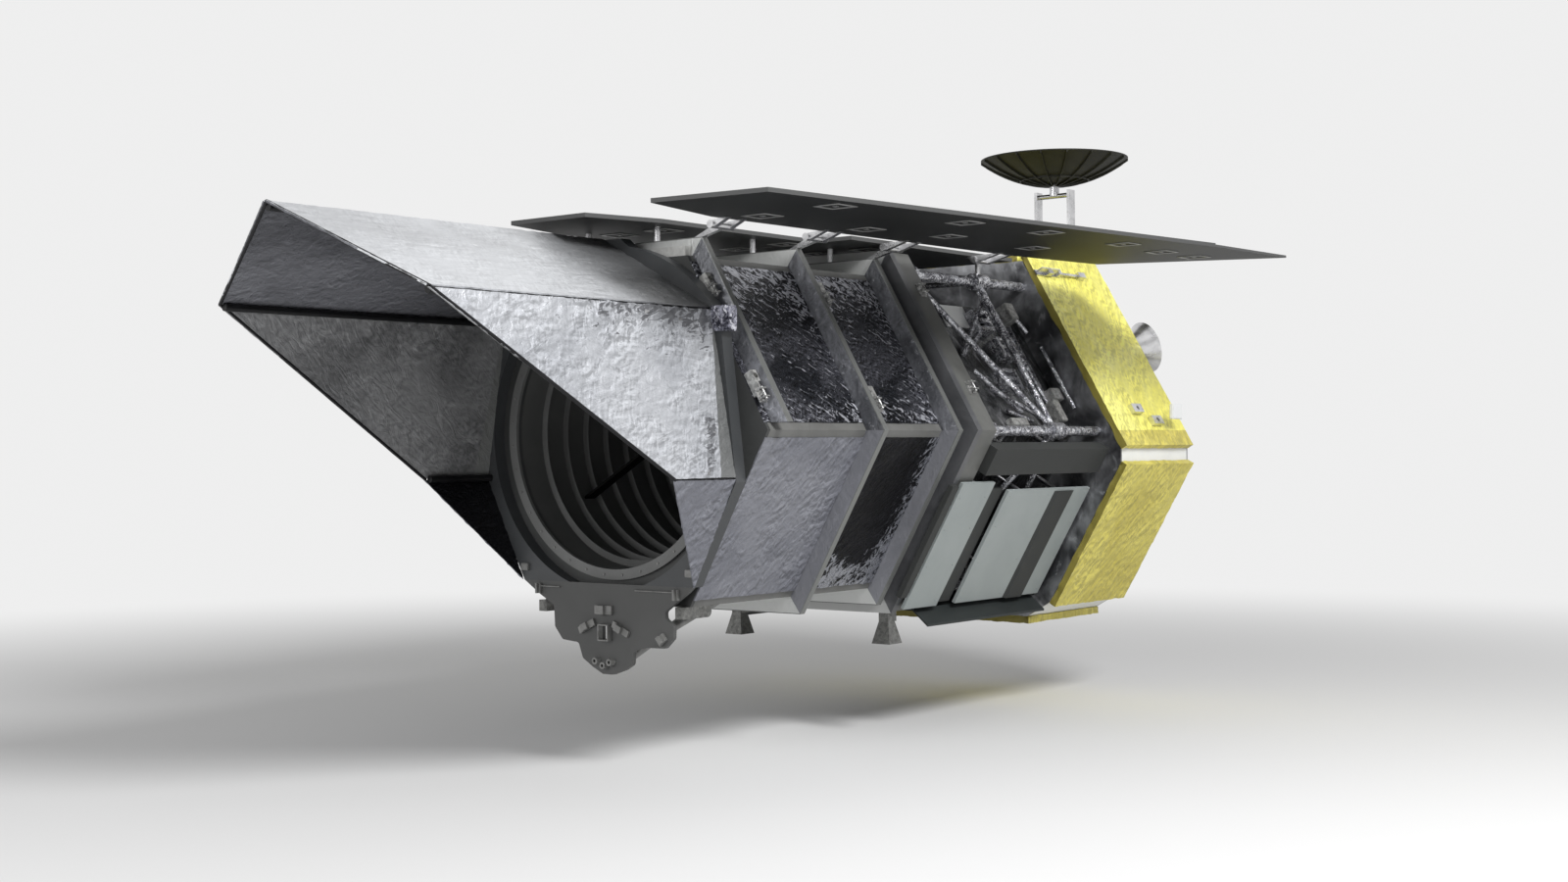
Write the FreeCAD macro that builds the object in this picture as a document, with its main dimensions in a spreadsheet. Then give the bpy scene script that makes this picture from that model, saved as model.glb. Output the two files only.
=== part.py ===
import FreeCAD, Part
import math
import os
import Sketcher
from FreeCAD import Vector

# Space telescope satellite, lying with its line of sight along +X.
# +Z is the sunward side, +Y the near side. The origin is the centre of the
# aft face of the launch adapter ring.

doc = FreeCAD.newDocument("satellite")
sheet = doc.addObject("Spreadsheet::Sheet", "Sizes")

DRIVING_SIZES = {
    # launch adapter ring
    "ring_outer_radius": 1200,
    "ring_wall": 16,
    "ring_height": 320,
    "ring_flange_width": 70,
    "ring_flange_thick": 30,
    "ring_bolt_radius": 1154,
    "ring_bolt_bore": 14,
    # service module
    "deck_thick": 30,
    "bus_length": 1660,
    "bus_top": 2078,
    "bus_top_half": 1037,
    "bus_side": 2330,
    "bus_side_low": -380,
    "bus_low_side": 1385,
    "bus_bottom_half": 1030,
    "blanket_thick": 80,
    "blanket_corner_gap": 110,
    "mast_box_length": 150,
    "mast_box_side": 70,
    "mast_radius": 16,
    "mast_side": 1300,
    "fin_length": 420,
    "fin_height": 110,
    "fin_thick": 14,
    "sensor_length": 230,
    "sensor_side": 110,
    "sensor_proud": 60,
    # instrument bay and truss
    "bay_length": 2780,
    "bay_corner": 1640,
    "bay_end_gap": 120,
    "truss_corner": 1950,
    "truss_tube_radius": 55,
    "truss_hub_radius": 95,
    "truss_hub_length": 240,
    "truss_brace_radius": 34,
    "truss_deck_inset": 940,
    "truss_barrel_inset": 420,
    "truss_box_length": 330,
    "truss_box_width": 260,
    "truss_box_slot": 60,
    "truss_box_lip": 50,
    "radiator_reach": 1953,
    "radiator_thick": 36,
    "radiator_front_setback": 630,
    "radiator_end_gap": 10,
    "radiator_start_gap": 50,
    "radiator_rear_setback": 982,
    "radiator_top": 500,
    "radiator_rear_top": 390,
    "radiator_foot": -1020,
    "radiator_post_radius": 26,
    "radiator_post_rise": 300,
    "radiator_post_drop": -660,
    "radiator_post_inset": 480,
    "radiator_rail_gap": 25,
    "radiator_rail_sunk": 60,
    "radiator_rail_width": 420,
    "radiator_rail_setback": 1400,
    "radiator_rail_proud": 24,
    "shelf_setback": 360,
    "shelf_floor": 1800,
    "shelf_top": 900,
    "shelf_foot": 590,
    "shelf_post": 745,
    "shelf_post_inset": 700,
    "closeout_gap": 30,
    "closeout_level": -1900,
    "closeout_half": 1080,
    "closeout_thick": 24,
    "closeout_lip": 190,
    "closeout_post_side": 420,
    "closeout_post_inset": 330,
    "aft_cup_reach": 1680,
    "aft_cup_along": 130,
    "aft_cup_mouth": 315,
    "aft_cup_base": 170,
    "aft_cup_length": 250,
    "aft_cup_wall": 8,
    "aft_cup_boss_radius": 60,
    "aft_cup_boss_length": 110,
    # telescope barrel
    "barrel_length": 3090,
    "barrel_corner": 1880,
    "barrel_skin": 40,
    "rib_height": 200,
    "rib_width": 70,
    "rib_ramp": 25,
    "rib_end_level": 70,
    "front_frame_setback": 170,
    "middle_frame_offset": 1490,
    "rear_frame_offset": 190,
    "film_thick": 14,
    "film_edge": 78,
    "frame_width": 90,
    "frame_depth": 100,
    "aft_frame_proud": 310,
    "skirt_length": 300,
    "skirt_step": 20,
    "skirt_wall": 20,
    "bracket_length": 190,
    "corner_box_height": 92,
    "bracket_width": 240,
    "bracket_height": 90,
    "bracket_bore": 60,
    "horn_neck": 120,
    "horn_mouth": 230,
    "horn_length": 230,
    "horn_wall": 10,
    "horn_box_height": 90,
    "horn_side": 1060,
    # aperture and optics
    "aperture_margin": 574,
    "bulkhead_thick": 40,
    "lip_width": 100,
    "lip_thick": 34,
    "groove_width": 206,
    "tube_wall": 12,
    "vane_depth": 70,
    "vane_thick": 8,
    "primary_rim": 106,
    "primary_thick": 160,
    "primary_offset": 240,
    "primary_bore": 280,
    "secondary_radius": 330,
    "secondary_thick": 160,
    "spider_thick": 24,
    "spider_depth": 140,
    # aperture cover
    "cover_frame_depth": 140,
    "cover_frame_margin": 100,
    "cover_frame_flat": 225,
    "cover_frame_top_inset": 52,
    "cover_frame_arc_inset": 108,
    "cover_ridge_inset": 39,
    "cover_ridge_length": 3855,
    "cover_fold_half_inset": 535,
    "cover_fold_inset": 765,
    "cover_fold_length": 3348,
    "cover_low_half_inset": 258,
    "cover_low": -441,
    "cover_low_length": 831,
    "cover_skirt_half_inset": 761,
    "cover_skirt_inset": 446,
    "cover_sheet": 16,
    "cover_boom_radius": 34,
    "lobe_plate_thick": 45,
    "lobe_plate_drop": 860,
    "lobe_round": 40,
    "lobe_fitting_height": 60,
    "lobe_fitting_wall": 12,
    "lobe_rod_radius": 7,
    "strut_radius": 44,
    "strut_run": 560,
    "foot_bracket_length": 400,
    "foot_bracket_height": 110,
    "foot_bracket_width": 100,
    # sun shield
    "shield_stand": 63,
    "shield_thick": 40,
    "shield_overhang": 730,
    "shield_front_tip_half": 480,
    "shield_shoulder_setback": 90,
    "shield_front_half": 680,
    "shield_split_offset": 800,
    "shield_rear_half": 1150,
    "shield_rear_gap": 480,
    "shield_gap": 30,
    "shield_post_radius": 30,
    "shield_post_side": 450,
    # wings
    "hinge_side": 1245,
    "hinge_drop": 50,
    "hinge_pin_radius": 16,
    "hinge_barrel_radius": 38,
    "hinge_knuckle": 110,
    "hinge_arm": 60,
    "hinge_seat": 100,
    "hinge_rear_offset": 250,
    "hinge_gap": 1,
    "hinge_running_gap": 0.05,
    "wing_front_inner": 1575,
    "wing_front_inner_reach": 1054,
    "wing_shoulder_setback": 38,
    "wing_inner": 1330,
    "wing_front_outer": 2762,
    "wing_front_outer_reach": 928,
    "wing_rear_inner": 1500,
    "wing_rear_inner_offset": 1048,
    "wing_rear_outer": 3600,
    "wing_rear_outer_offset": 355,
    "flap_inner": 1711,
    "flap_inner_setback": 496,
    "flap_outer": 3675,
    "flap_outer_setback": 1294,
    "flap_thick": 26,
    # high gain antenna
    "antenna_offset": 170,
    "antenna_side": 567,
    "pedestal_radius": 150,
    "pedestal_height": 420,
    "pedestal_flange_radius": 210,
    "pedestal_flange_thick": 20,
    "pedestal_bolt_radius": 180,
    "pedestal_bolt_bore": 11,
    "spigot_radius": 70,
    "spigot_depth": 120,
    "yoke_radius": 130,
    "yoke_base_thick": 60,
    "yoke_arm_half": 210,
    "yoke_arm_thick": 40,
    "yoke_rise": 438,
    "elevation_pin_radius": 30,
    "dish_radius": 904,
    "dish_depth": 300,
    "dish_skin": 14,
    "dish_offset": 140,
    "dish_rib_depth": 26,
    "dish_rib_thick": 12,
    "dish_ring_radius": 428,
    "feed_radius": 60,
    "feed_height": 230,
    "clearance": 0.3,
}
for row, (alias, value) in enumerate(DRIVING_SIZES.items(), start=1):
    sheet.set("A%d" % row, alias)
    sheet.set("B%d" % row, str(value))
    sheet.setAlias("B%d" % row, alias)
doc.recompute()

# Stations and levels that follow from the driving sizes
STATIONS = {
    "bus_end": "ring_height + bus_length",
    "barrel_start": "bus_end + bay_length",
    "barrel_end": "barrel_start + barrel_length",
    "bulkhead_station": "barrel_end - bulkhead_thick",
    "cover_base": "barrel_end + cover_frame_depth",
    "rib_corner": "barrel_corner + rib_height",
    "front_frame_station": "barrel_end - front_frame_setback",
    "middle_frame_station": "barrel_start + middle_frame_offset",
    "rear_frame_station": "barrel_start + rear_frame_offset",
    "primary_station": "barrel_start + primary_offset",
    "cover_ridge_tip": "cover_base + cover_ridge_length",
    "cover_fold_tip": "cover_base + cover_fold_length",
    "cover_low_tip": "cover_base + cover_low_length",
    "aperture_radius": "barrel_corner - aperture_margin",
    "cover_frame_bore": "aperture_radius + groove_width",
    "cover_frame_top": "barrel_corner - cover_frame_top_inset",
    "cover_frame_arc": "barrel_corner - cover_frame_arc_inset",
    "cover_ridge": "barrel_corner - cover_ridge_inset",
    "cover_fold_half": "barrel_corner - cover_fold_half_inset",
    "cover_fold": "barrel_corner - cover_fold_inset",
    "cover_low_half": "barrel_corner - cover_low_half_inset",
    "cover_skirt_half": "barrel_corner - cover_skirt_half_inset",
    "cover_skirt": "cover_skirt_inset - barrel_corner",
    "shield_level": "barrel_corner + shield_stand",
    "aft_frame_corner": "barrel_corner + aft_frame_proud",
    "skirt_corner": "aft_frame_corner - skirt_step",
    "radiator_rear_start": "bus_end + radiator_start_gap",
    "radiator_rear_end": "barrel_start - radiator_rear_setback",
    "radiator_front_start": "barrel_start - radiator_front_setback",
    "radiator_front_end": "barrel_start - radiator_end_gap",
    "shelf_end": "barrel_start - shelf_setback",
    "closeout_end": "barrel_start - skirt_length - closeout_gap",
    "shield_front_tip": "cover_base + shield_overhang",
    "shield_front_shoulder": "cover_base - shield_shoulder_setback",
    "shield_split": "barrel_start + shield_split_offset",
    "shield_rear_end": "bus_end + shield_rear_gap",
    "wing_front_inner_station": "cover_base + wing_front_inner_reach",
    "wing_front_outer_station": "cover_base + wing_front_outer_reach",
    "wing_shoulder_station": "cover_base - wing_shoulder_setback",
    "wing_rear_inner_station": "bus_end + wing_rear_inner_offset",
    "wing_rear_outer_station": "bus_end + wing_rear_outer_offset",
    "flap_inner_station": "bus_end - flap_inner_setback",
    "flap_outer_station": "bus_end - flap_outer_setback",
    "antenna_station": "ring_height + antenna_offset",
    "elevation_level": "bus_top + pedestal_height + yoke_rise",
}


def terms(total):
    """The driving sizes of a sum, each with its sign."""
    sign = 1
    for word in total.split():
        if word in ("+", "-"):
            sign = 1 if word == "+" else -1
        elif word in STATIONS:
            for inner_sign, size in terms(STATIONS[word]):
                yield sign * inner_sign, size
        else:
            yield sign, word


def cell(total):
    """The value of a size, or of a sum of sizes."""
    return sum(sign * float(sheet.get(size)) for sign, size in terms(total))


def at(total):
    """The same sum written as an expression on the sheet."""
    written = ["%s Sizes.%s" % ("+" if sign > 0 else "-", size) for sign, size in terms(total)]
    return "(%s)" % " ".join(written).lstrip("+ ")


sub_parts = []


def keep(item, label):
    """Name a finished sub-part and list it for writing."""
    item.Label = label
    sub_parts.append(item)
    return item


def origin_plane(body, role):
    """The body's own origin plane or axis with this role."""
    for feature in body.Origin.OriginFeatures:
        if feature.Role == role:
            return feature


def bind(item, name, expression):
    item.setExpression(name, expression)


def draw_polygon(sketch, corners):
    """A closed outline whose corners are pairs of expressions."""
    count = len(corners)
    first = sketch.GeometryCount
    unit_circle = [Vector(math.cos(2 * math.pi * k / count), math.sin(2 * math.pi * k / count), 0)
                   for k in range(count)]
    for k in range(count):
        sketch.addGeometry(Part.LineSegment(unit_circle[k], unit_circle[(k + 1) % count]))
    for k in range(count):
        following = first + (k + 1) % count
        sketch.addConstraint(Sketcher.Constraint("Coincident", first + k, 2, following, 1))
    for k, corner in enumerate(corners):
        for kind, expression in zip(("DistanceX", "DistanceY"), corner):
            number = sketch.addConstraint(Sketcher.Constraint(kind, -1, 1, first + k, 1, 1.0))
            sketch.setExpression("Constraints[%d]" % number, expression)


def draw_circle(sketch, across, up, radius):
    """A circle whose centre and radius are expressions."""
    index = sketch.addGeometry(Part.Circle(Vector(1, 1, 0), Vector(0, 0, 1), 1))
    for kind, expression in (("DistanceX", across), ("DistanceY", up)):
        number = sketch.addConstraint(Sketcher.Constraint(kind, -1, 1, index, 3, 1.0))
        sketch.setExpression("Constraints[%d]" % number, expression)
    number = sketch.addConstraint(Sketcher.Constraint("Radius", index, 1.0))
    sketch.setExpression("Constraints[%d]" % number, radius)


def new_sketch(body, role, loops):
    """A sketch on an origin plane, one closed loop per entry."""
    sketch = body.newObject("Sketcher::SketchObject", "Sketch")
    sketch.AttachmentSupport = [(origin_plane(body, role), "")]
    sketch.MapMode = "FlatFace"
    for loop in loops:
        if loop[0] == "circle":
            draw_circle(sketch, *loop[1:])
        else:
            draw_polygon(sketch, loop)
    return sketch


def prism(label, loops, length, station=None, role="YZ_Plane"):
    """A plate or tube padded along the plane's normal from its station."""
    body = doc.addObject("PartDesign::Body", label)
    pad = body.newObject("PartDesign::Pad", "Pad")
    pad.Profile = new_sketch(body, role, loops)
    body.Tip = pad
    bind(pad, "Length", length)
    if station:
        direction = {"YZ_Plane": "x", "XZ_Plane": "y", "XY_Plane": "z"}[role]
        bind(body, "Placement.Base." + direction, station)
    return keep(body, label)


def turned(label, profile, station=None):
    """A body turned about its own X axis, from (along, radius) corners."""
    body = doc.addObject("PartDesign::Body", label)
    turn = body.newObject("PartDesign::Revolution", "Revolution")
    turn.Profile = new_sketch(body, "XY_Plane", [profile])
    turn.ReferenceAxis = (origin_plane(body, "X_Axis"), [""])
    turn.Angle = 360
    body.Tip = turn
    if station:
        bind(body, "Placement.Base.x", station)
    return keep(body, label)


def hexagon(corner):
    """Corner expressions of a regular hexagon with a corner on the Y axis."""
    return [("(%s) * cos(%d)" % (corner, 60 * k), "(%s) * sin(%d)" % (corner, 60 * k)) for k in range(6)]


def solids(label, shapes):
    """One sub-part made of the given solids."""
    item = doc.addObject("Part::Feature", label)
    item.Shape = shapes[0] if len(shapes) == 1 else Part.makeCompound(shapes)
    return keep(item, label)


def rod(start, end, radius):
    """A round bar between two points."""
    way = end.sub(start)
    return Part.makeCylinder(radius, way.Length, start, way)


def block(low, high):
    """A box between two opposite corners."""
    span = high.sub(low)
    return Part.makeBox(span.x, span.y, span.z, low)


def plate(corners, thickness):
    """A flat plate: its corners, then its thickness as a vector."""
    return Part.Face(Part.makePolygon(corners + corners[:1])).extrude(thickness)


def mirrored(shape):
    """The same shape on the far side."""
    return shape.mirror(Vector(0, 0, 0), Vector(0, 1, 0))


def with_mirrored(shapes):
    return shapes + [mirrored(shape) for shape in shapes]


def corner_point(station, radius, turn):
    """A point at this distance from the line of sight, turned from +Y."""
    angle = math.radians(turn)
    return Vector(station, radius * math.cos(angle), radius * math.sin(angle))


class SlantedSide:
    """One slanted side of the hexagon: along X, out from the axis, up the slant."""

    def __init__(self, degrees):
        angle = math.radians(degrees)
        self.out = Vector(0, math.cos(angle), math.sin(angle))
        self.rise = Vector(0, -math.sin(angle), math.cos(angle))

    def point(self, station, reach, height):
        return Vector(station, 0, 0).add(self.out * reach).add(self.rise * height)

    def slab(self, start, end, floor, face, low, high):
        """A block standing on the side between two stations, reaches and heights."""
        corners = [self.point(start, floor, low), self.point(end, floor, low),
                   self.point(end, floor, high), self.point(start, floor, high)]
        return plate(corners, self.out * (face - floor))


UPPER_SIDE = SlantedSide(30)
LOWER_SIDE = SlantedSide(-30)
CORNER_TURNS = [60 * k for k in range(6)]
flat_share = math.cos(math.radians(30))
near_far = (("near", 1), ("far", -1))

# Launch adapter ring: a short shell with a flange at each end
ring_inside = at("ring_outer_radius - ring_flange_width")
ring_inner_wall = at("ring_outer_radius - ring_wall")
ring_step = at("ring_height - ring_flange_thick")
ring = turned("adapter_ring", [
    ("0", at("ring_outer_radius")),
    (at("ring_height"), at("ring_outer_radius")),
    (at("ring_height"), ring_inside),
    (ring_step, ring_inside),
    (ring_step, ring_inner_wall),
    (at("ring_flange_thick"), ring_inner_wall),
    (at("ring_flange_thick"), ring_inside),
    ("0", ring_inside),
])
ring_bolt_count = 24
hole = ring.newObject("PartDesign::Pocket", "BoltHole")
hole.Profile = new_sketch(ring, "YZ_Plane", [("circle", at("ring_bolt_radius"), "0",
                                              at("ring_bolt_bore") + " / 2")])
bind(hole, "Length", at("ring_flange_thick"))
hole.Reversed = True
hole_pattern = ring.newObject("PartDesign::PolarPattern", "BoltHoles")
hole_pattern.Originals = [hole]
hole_pattern.Axis = (origin_plane(ring, "X_Axis"), [""])
hole_pattern.Angle = 360
hole_pattern.Occurrences = ring_bolt_count
ring.Tip = hole_pattern

# Service module: a six-sided box with cut corners, wrapped in thick blankets
SIDE_TOP = "(Sizes.bus_top - (Sizes.bus_side - Sizes.bus_top_half) * tan(60))"
LOW_DROP = "(Sizes.bus_side_low - (Sizes.bus_side - Sizes.bus_low_side) * tan(60))"
BOTTOM = "(%s - (Sizes.bus_low_side - Sizes.bus_bottom_half) * tan(30))" % LOW_DROP
BUS_CORNERS = [
    ("Sizes.bus_top_half", "Sizes.bus_top"),
    ("Sizes.bus_side", SIDE_TOP),
    ("Sizes.bus_side", "Sizes.bus_side_low"),
    ("Sizes.bus_low_side", LOW_DROP),
    ("Sizes.bus_bottom_half", BOTTOM),
]
INSET_SHARES = [
    ("tan(30)", "-1"),
    ("1", "-tan(15)"),
    ("1", "tan(15)"),
    ("(sqrt(3) - 1)", "(sqrt(3) - 1)"),
    ("tan(15)", "1"),
]


def bus_outline():
    """The core under the blankets: near side down, far side back up."""
    near = []
    for (side, level), (inward, rise) in zip(BUS_CORNERS, INSET_SHARES):
        near.append(("%s - Sizes.blanket_thick * %s" % (side, inward),
                     "%s + Sizes.blanket_thick * (%s)" % (level, rise)))
    far = [("-(%s)" % side, level) for side, level in reversed(near)]
    return near + far


prism("bus_aft_deck", [bus_outline()], at("deck_thick"), at("ring_height"))
prism("bus_core", [bus_outline()], at("bus_length - deck_thick - deck_thick"), at("ring_height + deck_thick"))
prism("bus_front_deck", [bus_outline()], at("deck_thick"), at("bus_end - deck_thick"))
bus_start = cell("ring_height")
bus_end = cell("bus_end")


def blanket(start, end, trim_start, trim_end):
    """A slab laid on one side of the core, its outer edges trimmed back."""
    along = end.sub(start).normalize()
    inward = Vector(0, along.z, -along.y)
    if inward.dot(start) > 0:
        inward = inward.negative()
    first = start.add(along * trim_start)
    last = end.sub(along * trim_end)
    seat = inward * cell("blanket_thick - clearance")
    corners = [first, last, last.add(seat), first.add(seat)]
    return plate(corners, Vector(cell("bus_length"), 0, 0))


steep = math.tan(math.radians(60))
side_top = cell("bus_top") - cell("bus_side - bus_top_half") * steep
low_drop = cell("bus_side_low") - cell("bus_side - bus_low_side") * steep
bottom = low_drop - cell("bus_low_side - bus_bottom_half") / steep
outer_corners = [(cell("bus_top_half"), cell("bus_top")), (cell("bus_side"), side_top),
                 (cell("bus_side"), cell("bus_side_low")), (cell("bus_low_side"), low_drop),
                 (cell("bus_bottom_half"), bottom)]


def bus_corner(index, side=1):
    across, level = outer_corners[index]
    return Vector(bus_start, side * across, level)


gap = cell("blanket_corner_gap")
blankets = [blanket(bus_corner(0, -1), bus_corner(0), gap, gap),
            blanket(bus_corner(4, -1), bus_corner(4), 0, 0)]
for name, side in near_far:
    blankets.append(blanket(bus_corner(0, side), bus_corner(1, side), 0, 0))
    blankets.append(blanket(bus_corner(2, side), bus_corner(3, side), 0, 0))
solids("bus_blankets", blankets)

# Small gear on the service module: a mast with its box and a finned bracket
# by the near upper edge, and two sensor heads lower on the same slope
mast_start_share = 0.28
mast_box_share = 0.55
fin_share = 0.25
SENSOR_SHARES = ((0.37, 0.82), (0.58, 0.88))


def bus_spot(length_share):
    """A station on the service module, as a share of its length from its front."""
    return bus_end - cell("bus_length") * length_share


upper_edge = bus_corner(0)
slope = bus_corner(1).sub(upper_edge)
edge_way = slope * (1 / slope.Length)
edge_out = Vector(0, -edge_way.z, edge_way.y)


def on_upper_slope(station, down, out):
    """A point over the slanted blanket below the near upper edge."""
    return Vector(station, upper_edge.y, upper_edge.z).add(edge_way * down).add(edge_out * out)


def slope_block(start, end, down_start, down_end, low, high):
    corners = [on_upper_slope(start, down_start, low), on_upper_slope(end, down_start, low),
               on_upper_slope(end, down_end, low), on_upper_slope(start, down_end, low)]
    return plate(corners, edge_out * (high - low))


mast_down = cell("mast_side - bus_top_half")
mast_out = cell("mast_box_side") / 2
mast_foot = bus_spot(mast_start_share)
mast_head = bus_spot(mast_box_share)
box_half = cell("mast_box_side") / 2
mast_foot_block = slope_block(mast_foot - box_half, mast_foot + box_half, mast_down - box_half,
                              mast_down + box_half, 0, cell("mast_box_side"))
mast_bar = rod(on_upper_slope(mast_foot - box_half, mast_down, mast_out),
               on_upper_slope(mast_head, mast_down, mast_out), cell("mast_radius"))
mast_box = slope_block(mast_head - cell("mast_box_length"), mast_head, mast_down - box_half,
                       mast_down + box_half, 0, cell("mast_box_side"))
mast = mast_foot_block.fuse([mast_bar, mast_box])
fin_start = bus_spot(fin_share)
fin_base = slope_block(fin_start, fin_start + cell("fin_length"), mast_down - box_half, mast_down + box_half,
                       0, cell("fin_thick"))
fin_blade = slope_block(fin_start, fin_start + cell("fin_length"), mast_down - cell("fin_thick") / 2,
                        mast_down + cell("fin_thick") / 2, 0, cell("fin_height"))
fin_shoulder = slope_block(fin_start + cell("fin_height"), fin_start + cell("fin_height") * 2,
                           mast_down - box_half, mast_down + box_half, 0, cell("mast_box_side"))
bus_gear = [mast, fin_base.fuse([fin_blade, fin_shoulder])]
sensor_proud = cell("sensor_proud")
half_length = cell("sensor_length") / 2
half_side = cell("sensor_side") / 2
for length_share, down_share in SENSOR_SHARES:
    station = bus_spot(length_share)
    down = slope.Length * down_share
    housing = slope_block(station - half_length, station + half_length, down - half_side, down + half_side,
                          0, sensor_proud)
    window = rod(on_upper_slope(station, down, sensor_proud / 2), on_upper_slope(station, down, sensor_proud),
                 half_side / 2)
    bus_gear.append(housing.cut(window))
solids("bus_fittings", bus_gear)

# Instrument bay between the service module and the barrel
prism("instrument_bay", [hexagon(at("bay_corner"))], at("bay_length - bay_end_gap"), at("bus_end"))

# Truss: six long tubes with hubs, from the barrel's aft frame to the
# front deck, joined by struts round the deck hubs and by a zigzag between hubs
hub_radius = cell("truss_hub_radius")
hub_half = cell("truss_hub_length") / 2
tube_radius = cell("truss_tube_radius")
tube_length = cell("barrel_start") - bus_end
hub_stations = (cell("truss_deck_inset"), tube_length - cell("truss_barrel_inset"))
tube_profile = [(0, 0), (0, tube_radius)]
for station in hub_stations:
    tube_profile += [(station - hub_half, tube_radius), (station - hub_half, hub_radius),
                     (station + hub_half, hub_radius), (station + hub_half, tube_radius)]
tube_profile += [(tube_length, tube_radius), (tube_length, 0)]


def spun(origin, corners):
    """A round piece about a line along X, from (along, radius) corners."""
    points = [origin.add(Vector(along, 0, radius)) for along, radius in corners]
    return Part.Face(Part.makePolygon(points + points[:1])).revolve(origin, Vector(1, 0, 0), 360)


tubes = []
hub_points = []
for turn in CORNER_TURNS:
    start = corner_point(bus_end, cell("truss_corner"), turn)
    tubes.append(spun(start, tube_profile))
    hub_points.append([start.add(Vector(station, 0, 0)) for station in hub_stations])
solids("truss_tubes", tubes)


def strut_between(start, end):
    """A strut between two hubs, cut back to their round faces."""
    strut = rod(start, end, cell("truss_brace_radius"))
    for centre in (start, end):
        half = Vector(cell("truss_hub_length"), 0, 0)
        strut = strut.cut(rod(centre.sub(half), centre.add(half), hub_radius + cell("clearance")))
    return max(strut.Solids, key=lambda piece: piece.Volume)


braces = []
for number in range(len(CORNER_TURNS)):
    following = (number + 1) % len(CORNER_TURNS)
    braces.append(strut_between(hub_points[number][number % 2], hub_points[following][following % 2]))
    braces.append(strut_between(hub_points[number][0], hub_points[following][0]))
solids("truss_braces", braces)

# Gear on the slanted sides of the instrument bay, seen through the truss:
# slotted boxes and a ladder of cross bars between two rails
bay_flat = cell("bay_corner") * flat_share
truss_box = cell("truss_box_length")
BAY_BOX_SHARES = ((0.29, 0.52), (0.2, 0.1), (0.3, -0.42))
ladder_shares = (0.1, 0.16)
ladder_rung_count = 5


def bay_station(length_share):
    """A station on the instrument bay, as a share of its length from the service module."""
    return bus_end + (cell("barrel_start") - bus_end) * length_share


def slotted_box(side, length_share, rise_share):
    """An open box with two slots in its face, standing on a slanted side."""
    start = bay_station(length_share)
    low = cell("bay_corner") / 2 * rise_share
    width = cell("truss_box_width")
    lip = cell("truss_box_lip")
    face = bay_flat + width / 2
    box = side.slab(start, start + truss_box, bay_flat, face, low, low + width)
    middle = low + width / 2
    for foot in (low + lip, middle + lip / 2):
        box = box.cut(side.slab(start + lip, start + truss_box - lip, bay_flat + lip, face, foot,
                                foot + cell("truss_box_slot")))
    return box


truss_gear = [slotted_box(UPPER_SIDE, *shares) for shares in BAY_BOX_SHARES]
ladder_start, ladder_end = [bay_station(share) for share in ladder_shares]
ladder_half = cell("bay_corner") / 2 - cell("truss_box_width")
rail = cell("truss_box_lip") / 2
ladder = None
for station in (ladder_start, ladder_end - rail):
    piece = UPPER_SIDE.slab(station, station + rail, bay_flat, bay_flat + cell("truss_box_lip"),
                            -ladder_half, ladder_half)
    ladder = piece if ladder is None else ladder.fuse(piece)
for number in range(ladder_rung_count):
    height = ladder_half * ((number + 1) * 2 / (ladder_rung_count + 1) - 1)
    rung = UPPER_SIDE.slab(ladder_start, ladder_end, bay_flat, bay_flat + rail, height, height + rail)
    ladder = ladder.fuse(rung)
truss_gear.append(ladder.removeSplitter())
solids("truss_fittings", with_mirrored(truss_gear))

# Radiators on posts from the bay's lower slanted sides: two panels with sunk
# rails beside them, a bevelled rail on the rear one, and a box above
reach = cell("radiator_reach")
panel_floor = cell("radiator_reach - radiator_thick")
rail_floor = cell("radiator_reach - radiator_rail_sunk - radiator_thick")
rail_face = cell("radiator_reach - radiator_rail_sunk")
panel_foot = cell("radiator_foot")
front_panel = LOWER_SIDE.slab(cell("radiator_front_start"), cell("radiator_front_end"), panel_floor, reach,
                              panel_foot, cell("radiator_top"))
rear_panel = LOWER_SIDE.slab(cell("radiator_rear_start"), cell("radiator_rear_end"), panel_floor, reach,
                             panel_foot, cell("radiator_rear_top"))
shelf = LOWER_SIDE.slab(cell("radiator_rear_start"), cell("shelf_end"), cell("shelf_floor"), reach,
                        cell("shelf_foot"), cell("shelf_top"))
rail_gap = cell("radiator_rail_gap")
sunk_rail = LOWER_SIDE.slab(cell("radiator_rear_end") + rail_gap, cell("radiator_front_start") - rail_gap,
                            rail_floor, rail_face, panel_foot, cell("radiator_rear_top"))
bevel = cell("radiator_rail_proud")
proud_start = cell("radiator_rear_end - radiator_rail_setback")
proud_end = proud_start + cell("radiator_rail_width")
proud_edges = [LOWER_SIDE.point(proud_start, reach, panel_foot),
               LOWER_SIDE.point(proud_end, reach, panel_foot),
               LOWER_SIDE.point(proud_end - bevel * 2, reach + bevel, panel_foot),
               LOWER_SIDE.point(proud_start + bevel * 2, reach + bevel, panel_foot)]
proud_rail = plate(proud_edges, LOWER_SIDE.rise * (cell("radiator_rear_top") - bevel - panel_foot))
inset = cell("radiator_post_inset")


def slanted_post(station, height, floor):
    return rod(LOWER_SIDE.point(station, bay_flat, height), LOWER_SIDE.point(station, floor, height),
               cell("radiator_post_radius"))


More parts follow.
